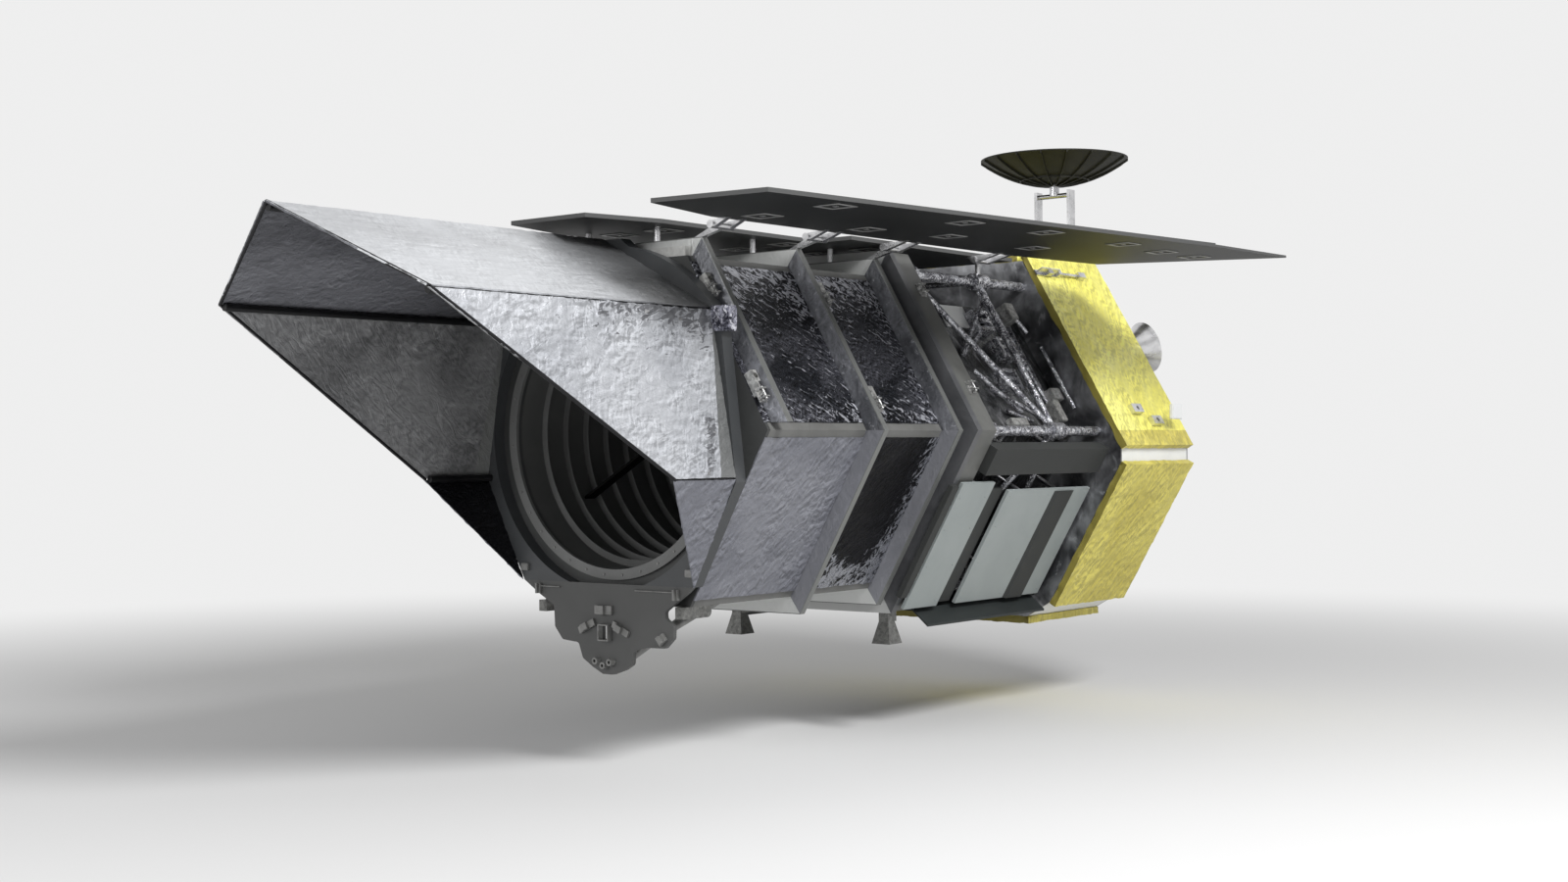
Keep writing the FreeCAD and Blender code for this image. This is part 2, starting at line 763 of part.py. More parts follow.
posts = []
sunk_centre = (cell("radiator_rear_end") + cell("radiator_front_start")) / 2
for height in (cell("radiator_post_rise"), cell("radiator_post_drop")):
    for station in (cell("radiator_rear_start") + inset, cell("radiator_rear_end") - inset,
                    cell("radiator_front_start") + inset / 2):
        posts.append(slanted_post(station, height, panel_floor))
    posts.append(slanted_post(sunk_centre, height, rail_floor))
for station in (cell("radiator_rear_start + shelf_post_inset"), cell("shelf_end - shelf_post_inset")):
    posts.append(slanted_post(station, cell("shelf_post"), cell("shelf_floor")))
for name, side in near_far:
    sides = {"front_radiator": [front_panel], "rear_radiator": [rear_panel],
             "bay_box": [shelf, sunk_rail, proud_rail]}
    for label, shapes in sides.items():
        solids("%s_%s" % (name, label), shapes if side > 0 else [mirrored(shape) for shape in shapes])
solids("radiator_posts", with_mirrored(posts))

# Closeout sheet under the bay with turned-down lips, on its own posts
closeout_level = cell("closeout_level")
closeout_top = cell("closeout_level + closeout_thick")
closeout_half = cell("closeout_half")
lip = cell("closeout_lip")
lip_drop = lip * math.tan(math.radians(40))
section = [(-closeout_half, closeout_top), (closeout_half, closeout_top),
           (closeout_half + lip, closeout_top - lip_drop), (closeout_half + lip, closeout_level - lip_drop),
           (closeout_half, closeout_level), (-closeout_half, closeout_level),
           (-closeout_half - lip, closeout_level - lip_drop), (-closeout_half - lip, closeout_top - lip_drop)]
closeout_start = cell("radiator_rear_start")
closeout = plate([Vector(closeout_start, across, level) for across, level in section],
                 Vector(cell("closeout_end") - closeout_start, 0, 0))
solids("bay_closeout", [closeout])
closeout_posts = []
closeout_inset = cell("closeout_post_inset")
for station in (closeout_start + closeout_inset, cell("closeout_end") - closeout_inset):
    across = cell("closeout_post_side")
    closeout_posts.append(rod(Vector(station, across, -bay_flat), Vector(station, across, closeout_top),
                              cell("radiator_post_radius")))
solids("closeout_posts", with_mirrored(closeout_posts))

# Flared cup on the aft deck's upper near corner, tilted outwards on a boss
CUP_TILT = math.radians(29)
cup_axis = Vector(-math.cos(CUP_TILT), 0, 0).add(UPPER_SIDE.out * math.sin(CUP_TILT))
cup_root = UPPER_SIDE.point(bus_start, cell("aft_cup_reach"), cell("aft_cup_along"))
boss_end = cup_root.add(cup_axis * cell("aft_cup_boss_length"))
boss = rod(cup_root.sub(cup_axis * cell("aft_cup_boss_length")), boss_end, cell("aft_cup_boss_radius"))
deck_side = Part.makeBox(cell("bus_length"), cell("bus_side + bus_side"), cell("bus_side + bus_side"),
                         Vector(bus_start, -cell("bus_side"), -cell("bus_side")))
wall = cell("aft_cup_wall")
cup = Part.makeCone(cell("aft_cup_base"), cell("aft_cup_mouth"), cell("aft_cup_length"), boss_end, cup_axis)
cup_hollow = Part.makeCone(cell("aft_cup_base") - wall, cell("aft_cup_mouth") - wall,
                           cell("aft_cup_length") - wall, boss_end.add(cup_axis * wall), cup_axis)
solids("aft_cup", [boss.cut(deck_side).fuse(cup.cut(cup_hollow))])

# Barrel: hexagonal skin closed in front by the bulkhead, with high ribs round
# it whose front faces are bevelled back to the skin
prism("barrel_skin",
      [hexagon(at("barrel_corner")), hexagon(at("barrel_corner") + " - Sizes.barrel_skin / cos(30)")],
      at("bulkhead_station - barrel_start - frame_width"), at("barrel_start + frame_width"))
barrel_flat = cell("barrel_corner") * flat_share
rib_flat = cell("rib_corner") * flat_share


def hexagon_wire(station, corner):
    points = [corner_point(station, corner, turn) for turn in CORNER_TURNS]
    return Part.makePolygon(points + points[:1])


def rib(station):
    """A hexagonal ring round the skin, its front face sloping down to it."""
    crown_end = station + cell("rib_width")
    ramp_end = crown_end + cell("rib_ramp")
    crown = cell("rib_corner")
    ramp_foot = cell("barrel_corner + rib_ramp")
    bore = cell("barrel_corner + clearance")
    ring_part = Part.makeLoft([hexagon_wire(station, crown), hexagon_wire(crown_end, crown)], True, True)
    ramp_part = Part.makeLoft([hexagon_wire(crown_end, crown), hexagon_wire(ramp_end, ramp_foot)], True, True)
    inside = Part.makeLoft([hexagon_wire(station, bore), hexagon_wire(ramp_end, bore)], True, True)
    return ring_part.fuse(ramp_part).cut(inside).removeSplitter()


front_rib = rib(cell("front_frame_station"))
below = Part.makeBox(cell("barrel_length"), cell("rib_corner + rib_corner"), cell("rib_corner"),
                     Vector(cell("barrel_start"), -cell("rib_corner"), cell("rib_end_level - rib_corner")))
solids("barrel_front_frame", [front_rib.cut(below)])
solids("barrel_middle_frame", [rib(cell("middle_frame_station"))])
solids("barrel_rear_frame", [rib(cell("rear_frame_station"))])
prism("barrel_aft_frame",
      [hexagon(at("aft_frame_corner")), hexagon(at("barrel_corner - frame_depth"))],
      at("frame_width"), at("barrel_start"))
prism("barrel_aft_skirt",
      [hexagon(at("skirt_corner")), hexagon(at("skirt_corner") + " - Sizes.skirt_wall / cos(30)")],
      at("skirt_length"), at("barrel_start - skirt_length"))

# Film blankets on the barrel's slanted sides, stopping short of its corners
film_half = cell("barrel_corner") / 2 - cell("film_edge")
film_face = barrel_flat + cell("film_thick")
seam = cell("clearance")
rib_depth = cell("rib_width + rib_ramp")
front_rib_station = cell("front_frame_station")
middle_rib_station = cell("middle_frame_station")
rear_rib_station = cell("rear_frame_station")
SHARED_BAYS = [(cell("barrel_start + frame_width"), rear_rib_station),
               (rear_rib_station + rib_depth, middle_rib_station)]
UPPER_BAYS = SHARED_BAYS + [(middle_rib_station + rib_depth, front_rib_station),
                            (front_rib_station + rib_depth, cell("barrel_end"))]
LOWER_BAYS = SHARED_BAYS + [(middle_rib_station + rib_depth, cell("barrel_end"))]
films = []
for side, bays in ((UPPER_SIDE, UPPER_BAYS), (LOWER_SIDE, LOWER_BAYS)):
    for start, end in bays:
        films.append(side.slab(start + seam, end - seam, barrel_flat, film_face, -film_half, film_half))
solids("barrel_films", with_mirrored(films))

# Fittings of the barrel: bored brackets by the ribs, boxes on its upper
# corners, rounded brackets behind the lobed plate, and horns under the aft frame
BRACKET_SHARES = (("front", 0.6), ("front", -0.52), ("middle", 0.62), ("middle", -0.66))
bay_ends = {"front": (front_rib_station + rib_depth, cell("barrel_end")),
            "middle": (middle_rib_station - cell("bracket_length"), middle_rib_station)}


def bracket(side, start, end, height):
    """A box with a notch and a bored lug, standing on the film beside a rib."""
    half = cell("bracket_width") / 2
    face = film_face + cell("bracket_height")
    bore = cell("bracket_bore") / 2
    middle = (start + end) / 2
    body = side.slab(start, end, film_face, face, height - half, height + half)
    drill = rod(side.point(middle, film_face + bore, height + half / 2),
                side.point(middle, face, height + half / 2), bore)
    notch = side.slab(start, middle, film_face + bore, face, height - half, height)
    return body.cut(drill).cut(notch)


fittings = []
for name, share in BRACKET_SHARES:
    start, end = bay_ends[name]
    height = cell("barrel_corner") / 2 * share
    fittings += with_mirrored([bracket(UPPER_SIDE, start + seam, end - seam, height)])
corner_box_shares = (0.55, 0.98)
inner_side, outer_side = [cell("barrel_corner") / 2 * share for share in corner_box_shares]
start, end = bay_ends["front"]
corner_box = block(Vector(start + seam, inner_side, barrel_flat),
                   Vector(end - seam, outer_side, barrel_flat + cell("corner_box_height")))
fittings += with_mirrored([corner_box])

plate_back = cell("cover_base - lobe_plate_thick")
bracket_side = cell("barrel_corner") / 2 - cell("foot_bracket_width")
half_height = cell("foot_bracket_height") / 2
rounded_end = plate_back - cell("foot_bracket_length") + half_height
foot_bracket = block(Vector(rounded_end, bracket_side, -barrel_flat - cell("foot_bracket_height")),
                     Vector(plate_back, bracket_side + cell("foot_bracket_width"), -barrel_flat))
nose = Vector(rounded_end, bracket_side, -barrel_flat - half_height)
foot_bracket = foot_bracket.fuse(rod(nose, nose.add(Vector(0, cell("foot_bracket_width"), 0)), half_height))
fittings += with_mirrored([foot_bracket.removeSplitter()])

horn_top = -cell("aft_frame_corner") * flat_share
horn_box_end = cell("barrel_start + frame_width")
horn_half = cell("horn_neck") / 2
horn_centre = Vector(horn_box_end - horn_half, cell("horn_side") - horn_half,
                     horn_top - cell("horn_box_height"))
horn_box = block(Vector(cell("barrel_start") - horn_half, horn_centre.y - horn_half, horn_centre.z),
                 Vector(horn_box_end, horn_centre.y + horn_half, horn_top))


def square_wire(centre, half):
    corners = [centre.add(Vector(half * a, half * b, 0)) for a, b in ((1, 1), (-1, 1), (-1, -1), (1, -1))]
    return Part.makePolygon(corners + corners[:1])


def flare(trim):
    """The horn's flaring form, smaller all round by the trim."""
    mouth = horn_centre.sub(Vector(0, 0, cell("horn_length")))
    return Part.makeLoft([square_wire(horn_centre, horn_half - trim),
                          square_wire(mouth, cell("horn_mouth") / 2 - trim)], True, True)


fittings += with_mirrored([horn_box.fuse(flare(0).cut(flare(cell("horn_wall")))).removeSplitter()])
solids("barrel_fittings", fittings)

# Front bulkhead with the round aperture, its raised lip and the tube behind it
prism("front_bulkhead", [hexagon(at("barrel_corner")), ("circle", "0", "0", at("aperture_radius"))],
      at("bulkhead_thick"), at("bulkhead_station"))
turned("aperture_lip", [
    ("0", at("aperture_radius")),
    (at("lip_thick"), at("aperture_radius")),
    (at("lip_thick"), at("aperture_radius + lip_width")),
    ("0", at("aperture_radius + lip_width")),
], at("barrel_end"))

vane_count = 9
ahead = Vector(1, 0, 0)
tube_start = cell("primary_station - primary_thick")
tube_end = cell("bulkhead_station")
aperture = cell("aperture_radius")


def annulus(station, length, outer, inner):
    base = Vector(station, 0, 0)
    return Part.makeCylinder(outer, length, base, ahead).cut(Part.makeCylinder(inner, length, base, ahead))


solids("baffle_tube", [annulus(tube_start, tube_end - tube_start, cell("aperture_radius + tube_wall"),
                               aperture)])
vane_pitch = (tube_end - cell("primary_station + primary_thick")) / vane_count
vane_stations = [tube_end - (number + 1) * vane_pitch for number in range(vane_count)]
solids("baffle_vanes", [annulus(station, cell("vane_thick"), aperture, cell("aperture_radius - vane_depth"))
                        for station in vane_stations])

turned("primary_mirror", [
    ("0", at("primary_bore")),
    (at("primary_thick") + " / 2", at("primary_bore")),
    (at("primary_thick"), at("aperture_radius - primary_rim")),
    ("0", at("aperture_radius - clearance")),
], at("primary_station"))

# Secondary mirror held by three arms from the tube, with two vanes ahead of
# them and the next just behind
arm_vane_count = 2
secondary_station = vane_stations[arm_vane_count] + cell("vane_thick + spider_thick")
secondary_centre = Vector(secondary_station, 0, 0)
secondary = Part.makeCylinder(cell("secondary_radius"), cell("secondary_thick"), secondary_centre, ahead)
half_arm = cell("spider_thick") / 2
ARM_TURNS = (90, 210, 330)
for turn in ARM_TURNS:
    arm = block(Vector(0, 0, -half_arm),
                Vector(cell("spider_depth"), cell("aperture_radius - clearance"), half_arm))
    arm.rotate(Vector(0, 0, 0), ahead, turn)
    arm.translate(secondary_centre)
    secondary = secondary.fuse(arm)
solids("secondary_mirror", [secondary])

# Aperture cover: four flat sheets stretched over booms, open below


def section_point(across, level):
    return Vector(cell("cover_base"), cell(across) if across else 0, cell(level))


ridge = section_point(None, "cover_ridge")
fold = section_point("cover_fold_half", "cover_fold")
low = section_point("cover_low_half", "cover_low")
skirt = section_point("cover_skirt_half", "cover_skirt")


def cover_sheet(start, end, start_tip, end_tip):
    """A sheet between two lines along X, its front edge cut from tip to tip."""
    along = end.sub(start).normalize()
    inward = Vector(0, along.z, -along.y)
    if inward.dot(start) > 0:
        inward = inward.negative()
    margin = cell("cover_sheet + clearance")
    first = start.add(along * margin)
    last = end.sub(along * margin)
    corners = [first, last, last.add(ahead * cell(end_tip + " - cover_base")),
               first.add(ahead * cell(start_tip + " - cover_base"))]
    return plate(corners, inward * cell("cover_sheet"))


upper = cover_sheet(ridge, fold, "cover_ridge_tip", "cover_fold_tip")
side_sheet = cover_sheet(fold, low, "cover_fold_tip", "cover_low_tip")
skirt_tip = Vector(cell("cover_low_tip"), low.y, low.z)
skirt_sheet = plate([low, skirt_tip, skirt], Vector(0, -cell("cover_sheet"), 0)).cut(side_sheet)
for label, shape in (("upper_sheet", upper), ("side_sheet", side_sheet), ("skirt", skirt_sheet)):
    solids("cover_near_" + label, [shape])
    solids("cover_far_" + label, [mirrored(shape)])


def boom(before, corner, after, tip):
    """A boom lying in the corner between two sheets, up to their tip."""
    first = before.sub(corner).normalize()
    second = after.sub(corner).normalize()
    middle = first.add(second).normalize()
    half_sine = first.cross(middle).Length
    start = corner.add(middle * (cell("cover_sheet + clearance + cover_boom_radius") / half_sine))
    end = Vector(cell(tip + " - cover_boom_radius"), start.y, start.z)
    return rod(start, end, cell("cover_boom_radius"))


def opposite(point):
    return Vector(point.x, -point.y, point.z)


ridge_boom = boom(opposite(fold), ridge, fold, "cover_ridge_tip")
side_booms = [boom(ridge, fold, low, "cover_fold_tip"), boom(fold, low, skirt, "cover_low_tip")]
solids("cover_booms", [ridge_boom] + with_mirrored(side_booms))

# Deep frame under the cover, its round bore clear of the aperture. The top
# is a low step and an arc on each side, then the sides follow the cover
FRAME_ARC_TURNS = (79, 62, 45)
FRAME_SIDE_SHARES = (("cover_fold_half", "cover_fold", 1, -0.5),
                     ("cover_low_half", "cover_low", 0, -0.25),
                     ("cover_skirt_half", "cover_skirt", -0.25, 0))
frame_back = cell("barrel_end")
frame_margin = cell("cover_frame_margin")
arc_points = [corner_point(frame_back, cell("cover_frame_arc"), turn) for turn in FRAME_ARC_TURNS]
side_points = [Vector(frame_back, cell(across) + frame_margin * outward, cell(height) + frame_margin * rise)
               for across, height, outward, rise in FRAME_SIDE_SHARES]
axis_foot = Vector(frame_back, 0, cell("cover_skirt"))
axis_top = Vector(frame_back, 0, cell("cover_frame_top"))
flat_end = Vector(frame_back, cell("cover_frame_flat"), cell("cover_frame_top"))
corners_after = [arc_points[2]] + side_points + [axis_foot, axis_top, flat_end, arc_points[0]]
edges = [Part.Arc(*arc_points).toShape()]
edges += [Part.LineSegment(first, second).toShape()
          for first, second in zip(corners_after, corners_after[1:])]
half_frame = Part.Face(Part.Wire(edges)).extrude(ahead * cell("cover_frame_depth"))
frame_bore = Part.makeCylinder(cell("cover_frame_bore"), cell("cover_frame_depth"),
                               Vector(frame_back, 0, 0), ahead)
cover_frame = half_frame.fuse(mirrored(half_frame)).cut(frame_bore).removeSplitter()
solids("cover_base_frame", [cover_frame])

# Lobed plate hanging below the frame, its corners rounded, with a framed slot.
# Each share pair is across from the middle and down from the frame's foot
LOBE_OUTLINE_SHARES = [
    (-1, 0), (-0.81, 0.15), (-0.63, 0.27), (-0.62, 0.51), (-0.525, 0.65), (-0.33, 0.67), (-0.28, 0.84),
    (-0.16, 0.93), (-0.04, 1), (0.08, 1), (0.22, 0.94), (0.31, 0.875), (0.32, 0.72), (0.49, 0.675),
    (0.685, 0.67), (0.78, 0.56), (0.785, 0.42), (0.695, 0.35), (0.69, 0.275), (0.945, 0.06), (1, 0),
]
lobe_half = side_points[2].y
lobe_top = cell("cover_skirt - clearance")
lobe_drop = cell("lobe_plate_drop")


def lobe_point(across_share, down_share, station=plate_back):
    return Vector(station, lobe_half * across_share, lobe_top - lobe_drop * down_share)


lobe_face = cell("cover_base")
outline = [lobe_point(*shares) for shares in LOBE_OUTLINE_SHARES]
lobe_plate = plate(outline, ahead * cell("lobe_plate_thick"))
rounding_top = lobe_top - cell("lobe_round")
corner_edges = [edge for edge in lobe_plate.Edges
                if edge.BoundBox.XLength > cell("lobe_plate_thick") / 2
                and edge.CenterOfMass.z < rounding_top]
lobe_plate = lobe_plate.makeFillet(cell("lobe_round"), corner_edges)
slot_low_shares = (-0.04, 0.615)
slot_high_shares = (0.06, 0.46)
slot_low = lobe_point(*slot_low_shares)
slot_high = lobe_point(*slot_high_shares, lobe_face)
lobe_plate = lobe_plate.cut(block(slot_low, slot_high))
solids("front_lobe_plate", [lobe_plate])

# Fittings on the lobed plate: stepped blocks, latches with their wires, eyes,
# the slot's frame, and struts from the plate's back up to the barrel
fitting_height = cell("lobe_fitting_height")
fitting_wall = cell("lobe_fitting_wall")
STEPPED_SHARES = ((-0.01, 0.29, 0.2, 0.075, 0), (-0.21, 0.48, 0.2, 0.06, 25),
                  (0.19, 0.49, 0.2, 0.06, -25), (0.66, 0.575, 0.09, 0.07, 40),
                  (-0.8, 0.085, 0.05, 0.09, 0), (0.83, 0.085, 0.05, 0.09, 0))
WIRE_SHARES = ((-0.55, -0.775), (0.36, 0.805))
EYE_SHARES = ((-0.09, 0.855), (0, 0.9), (0.08, 0.86))
STRUT_SHARES = ((0.69, 0.47, 0.62), (0.25, 0.8, 0.35), (-0.55, 0.5, -0.6))
wire_down_share = 0.06
stepped_shares = (0.5, 0.25)
eye_share = 0.03


def stepped_block(across_share, down_share, width_share, height_share, degrees):
    """A low block with a higher half, turned on the plate's face."""
    half_width = lobe_half * width_share / 2
    half_height = lobe_half * height_share / 2
    low_part = block(Vector(0, -half_width, -half_height),
                     Vector(fitting_height * stepped_shares[0], half_width, half_height))
    high_part = block(Vector(0, -half_width * stepped_shares[0], -half_height),
                      Vector(fitting_height, half_width * stepped_shares[1], half_height))
    piece = low_part.fuse(high_part).removeSplitter()
    piece.rotate(Vector(0, 0, 0), ahead, degrees)
    piece.translate(lobe_point(across_share, down_share, lobe_face))
    return piece


lobe_gear = [stepped_block(*shares) for shares in STEPPED_SHARES]
for start_share, end_share in WIRE_SHARES:
    height = Vector(fitting_height * stepped_shares[1], 0, 0)
    start = lobe_point(start_share, wire_down_share, lobe_face).add(height)
    end = lobe_point(end_share, wire_down_share, lobe_face).add(height)
    post_end = lobe_point(start_share, wire_down_share, lobe_face)
    wire = rod(start, end, cell("lobe_rod_radius"))
    lobe_gear.append(wire.fuse(rod(post_end, start, cell("lobe_rod_radius"))))
for across_share, down_share in EYE_SHARES:
    centre = lobe_point(across_share, down_share, lobe_face)
    eye = rod(centre, centre.add(ahead * fitting_height), lobe_half * eye_share)
    lobe_gear.append(eye.cut(rod(centre, centre.add(ahead * fitting_height), lobe_half * eye_share / 2)))
wall_vector = Vector(0, fitting_wall, fitting_wall)
rim = block(slot_low.sub(wall_vector).add(ahead * cell("lobe_plate_thick")),
            slot_high.add(wall_vector).add(ahead * fitting_height))
lobe_gear.append(rim.cut(block(slot_low, slot_high.add(ahead * fitting_height))))
strut_side = cell("barrel_corner")
under_barrel = block(Vector(cell("barrel_start"), -strut_side, lobe_top - lobe_drop),
                     Vector(plate_back, strut_side, -barrel_flat))
for across_share, down_share, end_share in STRUT_SHARES:
    foot = lobe_point(across_share, down_share)
    run = -barrel_flat - foot.z
    head = Vector(foot.x - cell("strut_run") - run, lobe_half * end_share, -barrel_flat)
    overrun = head.sub(foot).normalize() * cell("strut_run")
    strut = rod(foot.sub(overrun), head.add(overrun), cell("strut_radius"))
    lobe_gear.append(strut.common(under_barrel))
solids("lobe_fittings", lobe_gear)

# Sun shield: two fixed panels over the barrel


def flat_panel(label, corners, thickness="shield_thick"):
    """A level panel, from (along, across) pairs of sums and signs."""
    outline = [(at(along), sign + at(across)) for along, across, sign in corners]
    return prism(label, [outline], at(thickness), at("shield_level"), role="XY_Plane")


flat_panel("shield_front_panel", [
    ("shield_front_tip", "shield_front_tip_half", "-"),
    ("shield_front_tip", "shield_front_tip_half", ""),
    ("shield_front_shoulder", "shield_front_half", ""),
    ("shield_split + shield_gap", "shield_front_half", ""),
    ("shield_split + shield_gap", "shield_front_half", "-"),
    ("shield_front_shoulder", "shield_front_half", "-"),
])
flat_panel("shield_rear_panel", [
    ("shield_split", "shield_rear_half", "-"),
    ("shield_split", "shield_rear_half", ""),
    ("shield_rear_end", "shield_rear_half", ""),
    ("shield_rear_end", "shield_rear_half", "-"),
])

WING_CORNERS = [("wing_front_inner_station", "wing_front_inner"),
                ("wing_front_outer_station", "wing_front_outer"),
                ("wing_rear_outer_station", "wing_rear_outer"),
                ("wing_rear_inner_station", "wing_rear_inner"),
                ("wing_shoulder_station", "wing_inner")]
FLAP_CORNERS = [("wing_rear_inner_station", "wing_rear_inner"),
                ("wing_rear_outer_station", "wing_rear_outer"),
                ("flap_outer_station", "flap_outer"), ("flap_inner_station", "flap_inner")]
for name, side in near_far:
    sign = "" if side > 0 else "-"
    flat_panel(name + "_wing_panel", [corner + (sign,) for corner in WING_CORNERS])
    flat_panel(name + "_wing_flap", [corner + (sign,) for corner in FLAP_CORNERS], "flap_thick")

# Posts between the barrel ribs or the truss hubs and the fixed shield panels
rib_centre = cell("rib_width") / 2
rib_stations = [station + rib_centre
                for station in (front_rib_station, middle_rib_station, rear_rib_station)]


def shield_post(station, across, foot_level):
    return rod(Vector(station, across, foot_level), Vector(station, across, cell("shield_level")),
               cell("shield_post_radius"))


shield_posts = [shield_post(station, cell("shield_post_side"), rib_flat) for station in rib_stations]
upper_hub = hub_points[1][0]
hub_axis = Vector(hub_half, 0, 0)
hub_seat = rod(upper_hub.sub(hub_axis), upper_hub.add(hub_axis), hub_radius + cell("clearance"))
shield_posts.append(shield_post(upper_hub.x, upper_hub.y, upper_hub.z).cut(hub_seat))
solids("shield_posts", with_mirrored(shield_posts))

# Wing hinges: three on the barrel ribs and one under the rear panel
hinge_level = cell("shield_level - hinge_drop")
hinge_side = cell("hinge_side")
knuckle = cell("hinge_knuckle")
barrel_radius = cell("hinge_barrel_radius")
arm_inset = (knuckle - cell("hinge_arm")) / 2
rear_hinge_station = cell("wing_rear_inner_station + hinge_rear_offset")
rib_corner_side = cell("rib_corner") / 2


def wing_inner_at(station):
    """The wing's inner edge between its shoulder and its rear corner."""
    run = cell("wing_shoulder_station - wing_rear_inner_station")
    share = (station - cell("wing_rear_inner_station")) / run
    return cell("wing_rear_inner") + share * cell("wing_inner - wing_rear_inner")


def hinge_arm(start, corners):
    """A flat arm across the hinge line, from (side, level) corners."""
    outline = [Vector(start + arm_inset, across, height) for across, height in corners]
    return plate(outline, ahead * cell("hinge_arm"))


def knuckle_at(start, radius, overhang=0):
    base = Vector(start - overhang, hinge_side, hinge_level)
    return Part.makeCylinder(radius, knuckle + overhang * 2, base, ahead)


tip_low = (hinge_side, hinge_level - barrel_radius)
tip_high = (hinge_side, hinge_level + barrel_radius)
spacing = knuckle + cell("hinge_gap")
lugs = []
leaves = []
for station in rib_stations + [rear_hinge_station]:
    start = station - knuckle / 2
    if station == rear_hinge_station:
        seat_end = cell("shield_rear_half")
        outline = [(seat_end - cell("hinge_seat"), cell("shield_level")), (seat_end, cell("shield_level")),
                   tip_high, tip_low]
    else:
        outline = [(rib_corner_side - cell("hinge_seat"), rib_flat), (rib_corner_side, rib_flat),
                   tip_low, tip_high]
    lug = hinge_arm(start, outline).fuse([knuckle_at(start, barrel_radius),
                                          knuckle_at(start, cell("hinge_pin_radius"), spacing)])
    lugs.append(lug.removeSplitter())
    inner = wing_inner_at(station)
    for leaf_start in (start - spacing, start + spacing):
        leaf = hinge_arm(leaf_start, [tip_low, tip_high, (inner, cell("shield_level")),
                                      (inner + cell("hinge_seat"), cell("shield_level"))])
        leaf = leaf.fuse(knuckle_at(leaf_start, barrel_radius))
        bore = knuckle_at(leaf_start, cell("hinge_pin_radius + hinge_running_gap"), spacing)
        leaves.append(leaf.cut(bore))
for name, side in near_far:
    for label, shapes in (("hinge_lugs", lugs), ("wing_leaves", leaves)):
        solids("%s_%s" % (name, label), shapes if side > 0 else [mirrored(shape) for shape in shapes])

# Antenna: bolted pedestal, turning yoke, axle and dish
antenna_foot = Vector(cell("antenna_station"), cell("antenna_side"), cell("bus_top"))
up = Vector(0, 0, 1)
flange_thick = cell("pedestal_flange_thick")
pedestal = Part.makeCylinder(cell("pedestal_radius"), cell("pedestal_height"), antenna_foot, up)
pedestal = pedestal.fuse(Part.makeCylinder(cell("pedestal_flange_radius"), flange_thick, antenna_foot, up))
pedestal_bolt_count = 6
for number in range(pedestal_bolt_count):
    turn = 2 * math.pi * number / pedestal_bolt_count
    spot = antenna_foot.add(Vector(math.cos(turn), math.sin(turn), 0) * cell("pedestal_bolt_radius"))
    pedestal = pedestal.cut(Part.makeCylinder(cell("pedestal_bolt_bore") / 2, flange_thick, spot, up))

spigot_radius = cell("spigot_radius")
spigot_top = antenna_foot.add(up * cell("pedestal_height"))
bearing = Part.makeCylinder(spigot_radius + cell("hinge_running_gap"), cell("spigot_depth + clearance"),
                            spigot_top, up.negative())
solids("antenna_pedestal", [pedestal.cut(bearing)])

yoke_base = spigot_top.add(up * cell("clearance"))
half_yoke = cell("yoke_radius") / 2
arm_inner = cell("yoke_arm_half")
arm_outer = cell("yoke_arm_half + yoke_arm_thick")
pin_radius = cell("elevation_pin_radius")
pivot = Vector(antenna_foot.x, antenna_foot.y, cell("elevation_level"))
yoke = Part.makeCylinder(cell("yoke_radius"), cell("yoke_base_thick"), yoke_base, up)
yoke = yoke.fuse(Part.makeCylinder(spigot_radius, cell("spigot_depth"), yoke_base, up.negative()))
yoke = yoke.fuse(block(yoke_base.sub(Vector(half_yoke, arm_outer, 0)),
                       yoke_base.add(Vector(half_yoke, arm_outer, cell("yoke_base_thick")))))
for side in (-1, 1):
    low_side = min(side * arm_inner, side * arm_outer)
    yoke = yoke.fuse(block(Vector(pivot.x - half_yoke, pivot.y + low_side, yoke_base.z),
                           Vector(pivot.x + half_yoke, pivot.y + low_side + cell("yoke_arm_thick"),
                                  pivot.z + pin_radius * 2)))
half_axle = Vector(0, arm_outer, 0)
yoke = yoke.cut(rod(pivot.sub(half_axle), pivot.add(half_axle), pin_radius + cell("hinge_running_gap")))
solids("antenna_yoke", [yoke.removeSplitter()])

neck = Part.makeCylinder(pin_radius * 2, cell("dish_offset - clearance"), pivot, up)
solids("antenna_axle", [rod(pivot.sub(half_axle), pivot.add(half_axle), pin_radius).fuse(neck)])

# The dish is a true paraboloid shell, stiffened outside by radial ribs and one
# ring. A parabola's control points are its vertex, half its radius, its rim
dish_rib_count = 18
dish_radius = cell("dish_radius")
dish_depth = cell("dish_depth")
dish_skin = cell("dish_skin")
rib_foot = cell("dish_rib_depth")
vertex = pivot.add(up * cell("dish_offset"))


def parabola(rise):
    """The dish's profile, raised or lowered along its axis."""
    curve = Part.BezierCurve()
    curve.setPoles([Vector(0, 0, rise), Vector(dish_radius / 2, 0, rise),
                    Vector(dish_radius, 0, dish_depth + rise)])
    return curve.toShape()


def between(lower, higher):
    """The flat face between two such profiles, closed at the axis and the rim."""
    low_line = parabola(lower)
    high_line = parabola(higher)
    rim_line = Part.makeLine(Vector(dish_radius, 0, dish_depth + lower),
                             Vector(dish_radius, 0, dish_depth + higher))
    axis_line = Part.makeLine(Vector(0, 0, lower), Vector(0, 0, higher))
    return Part.Face(Part.Wire(Part.__sortEdges__([low_line, rim_line, high_line, axis_line])))


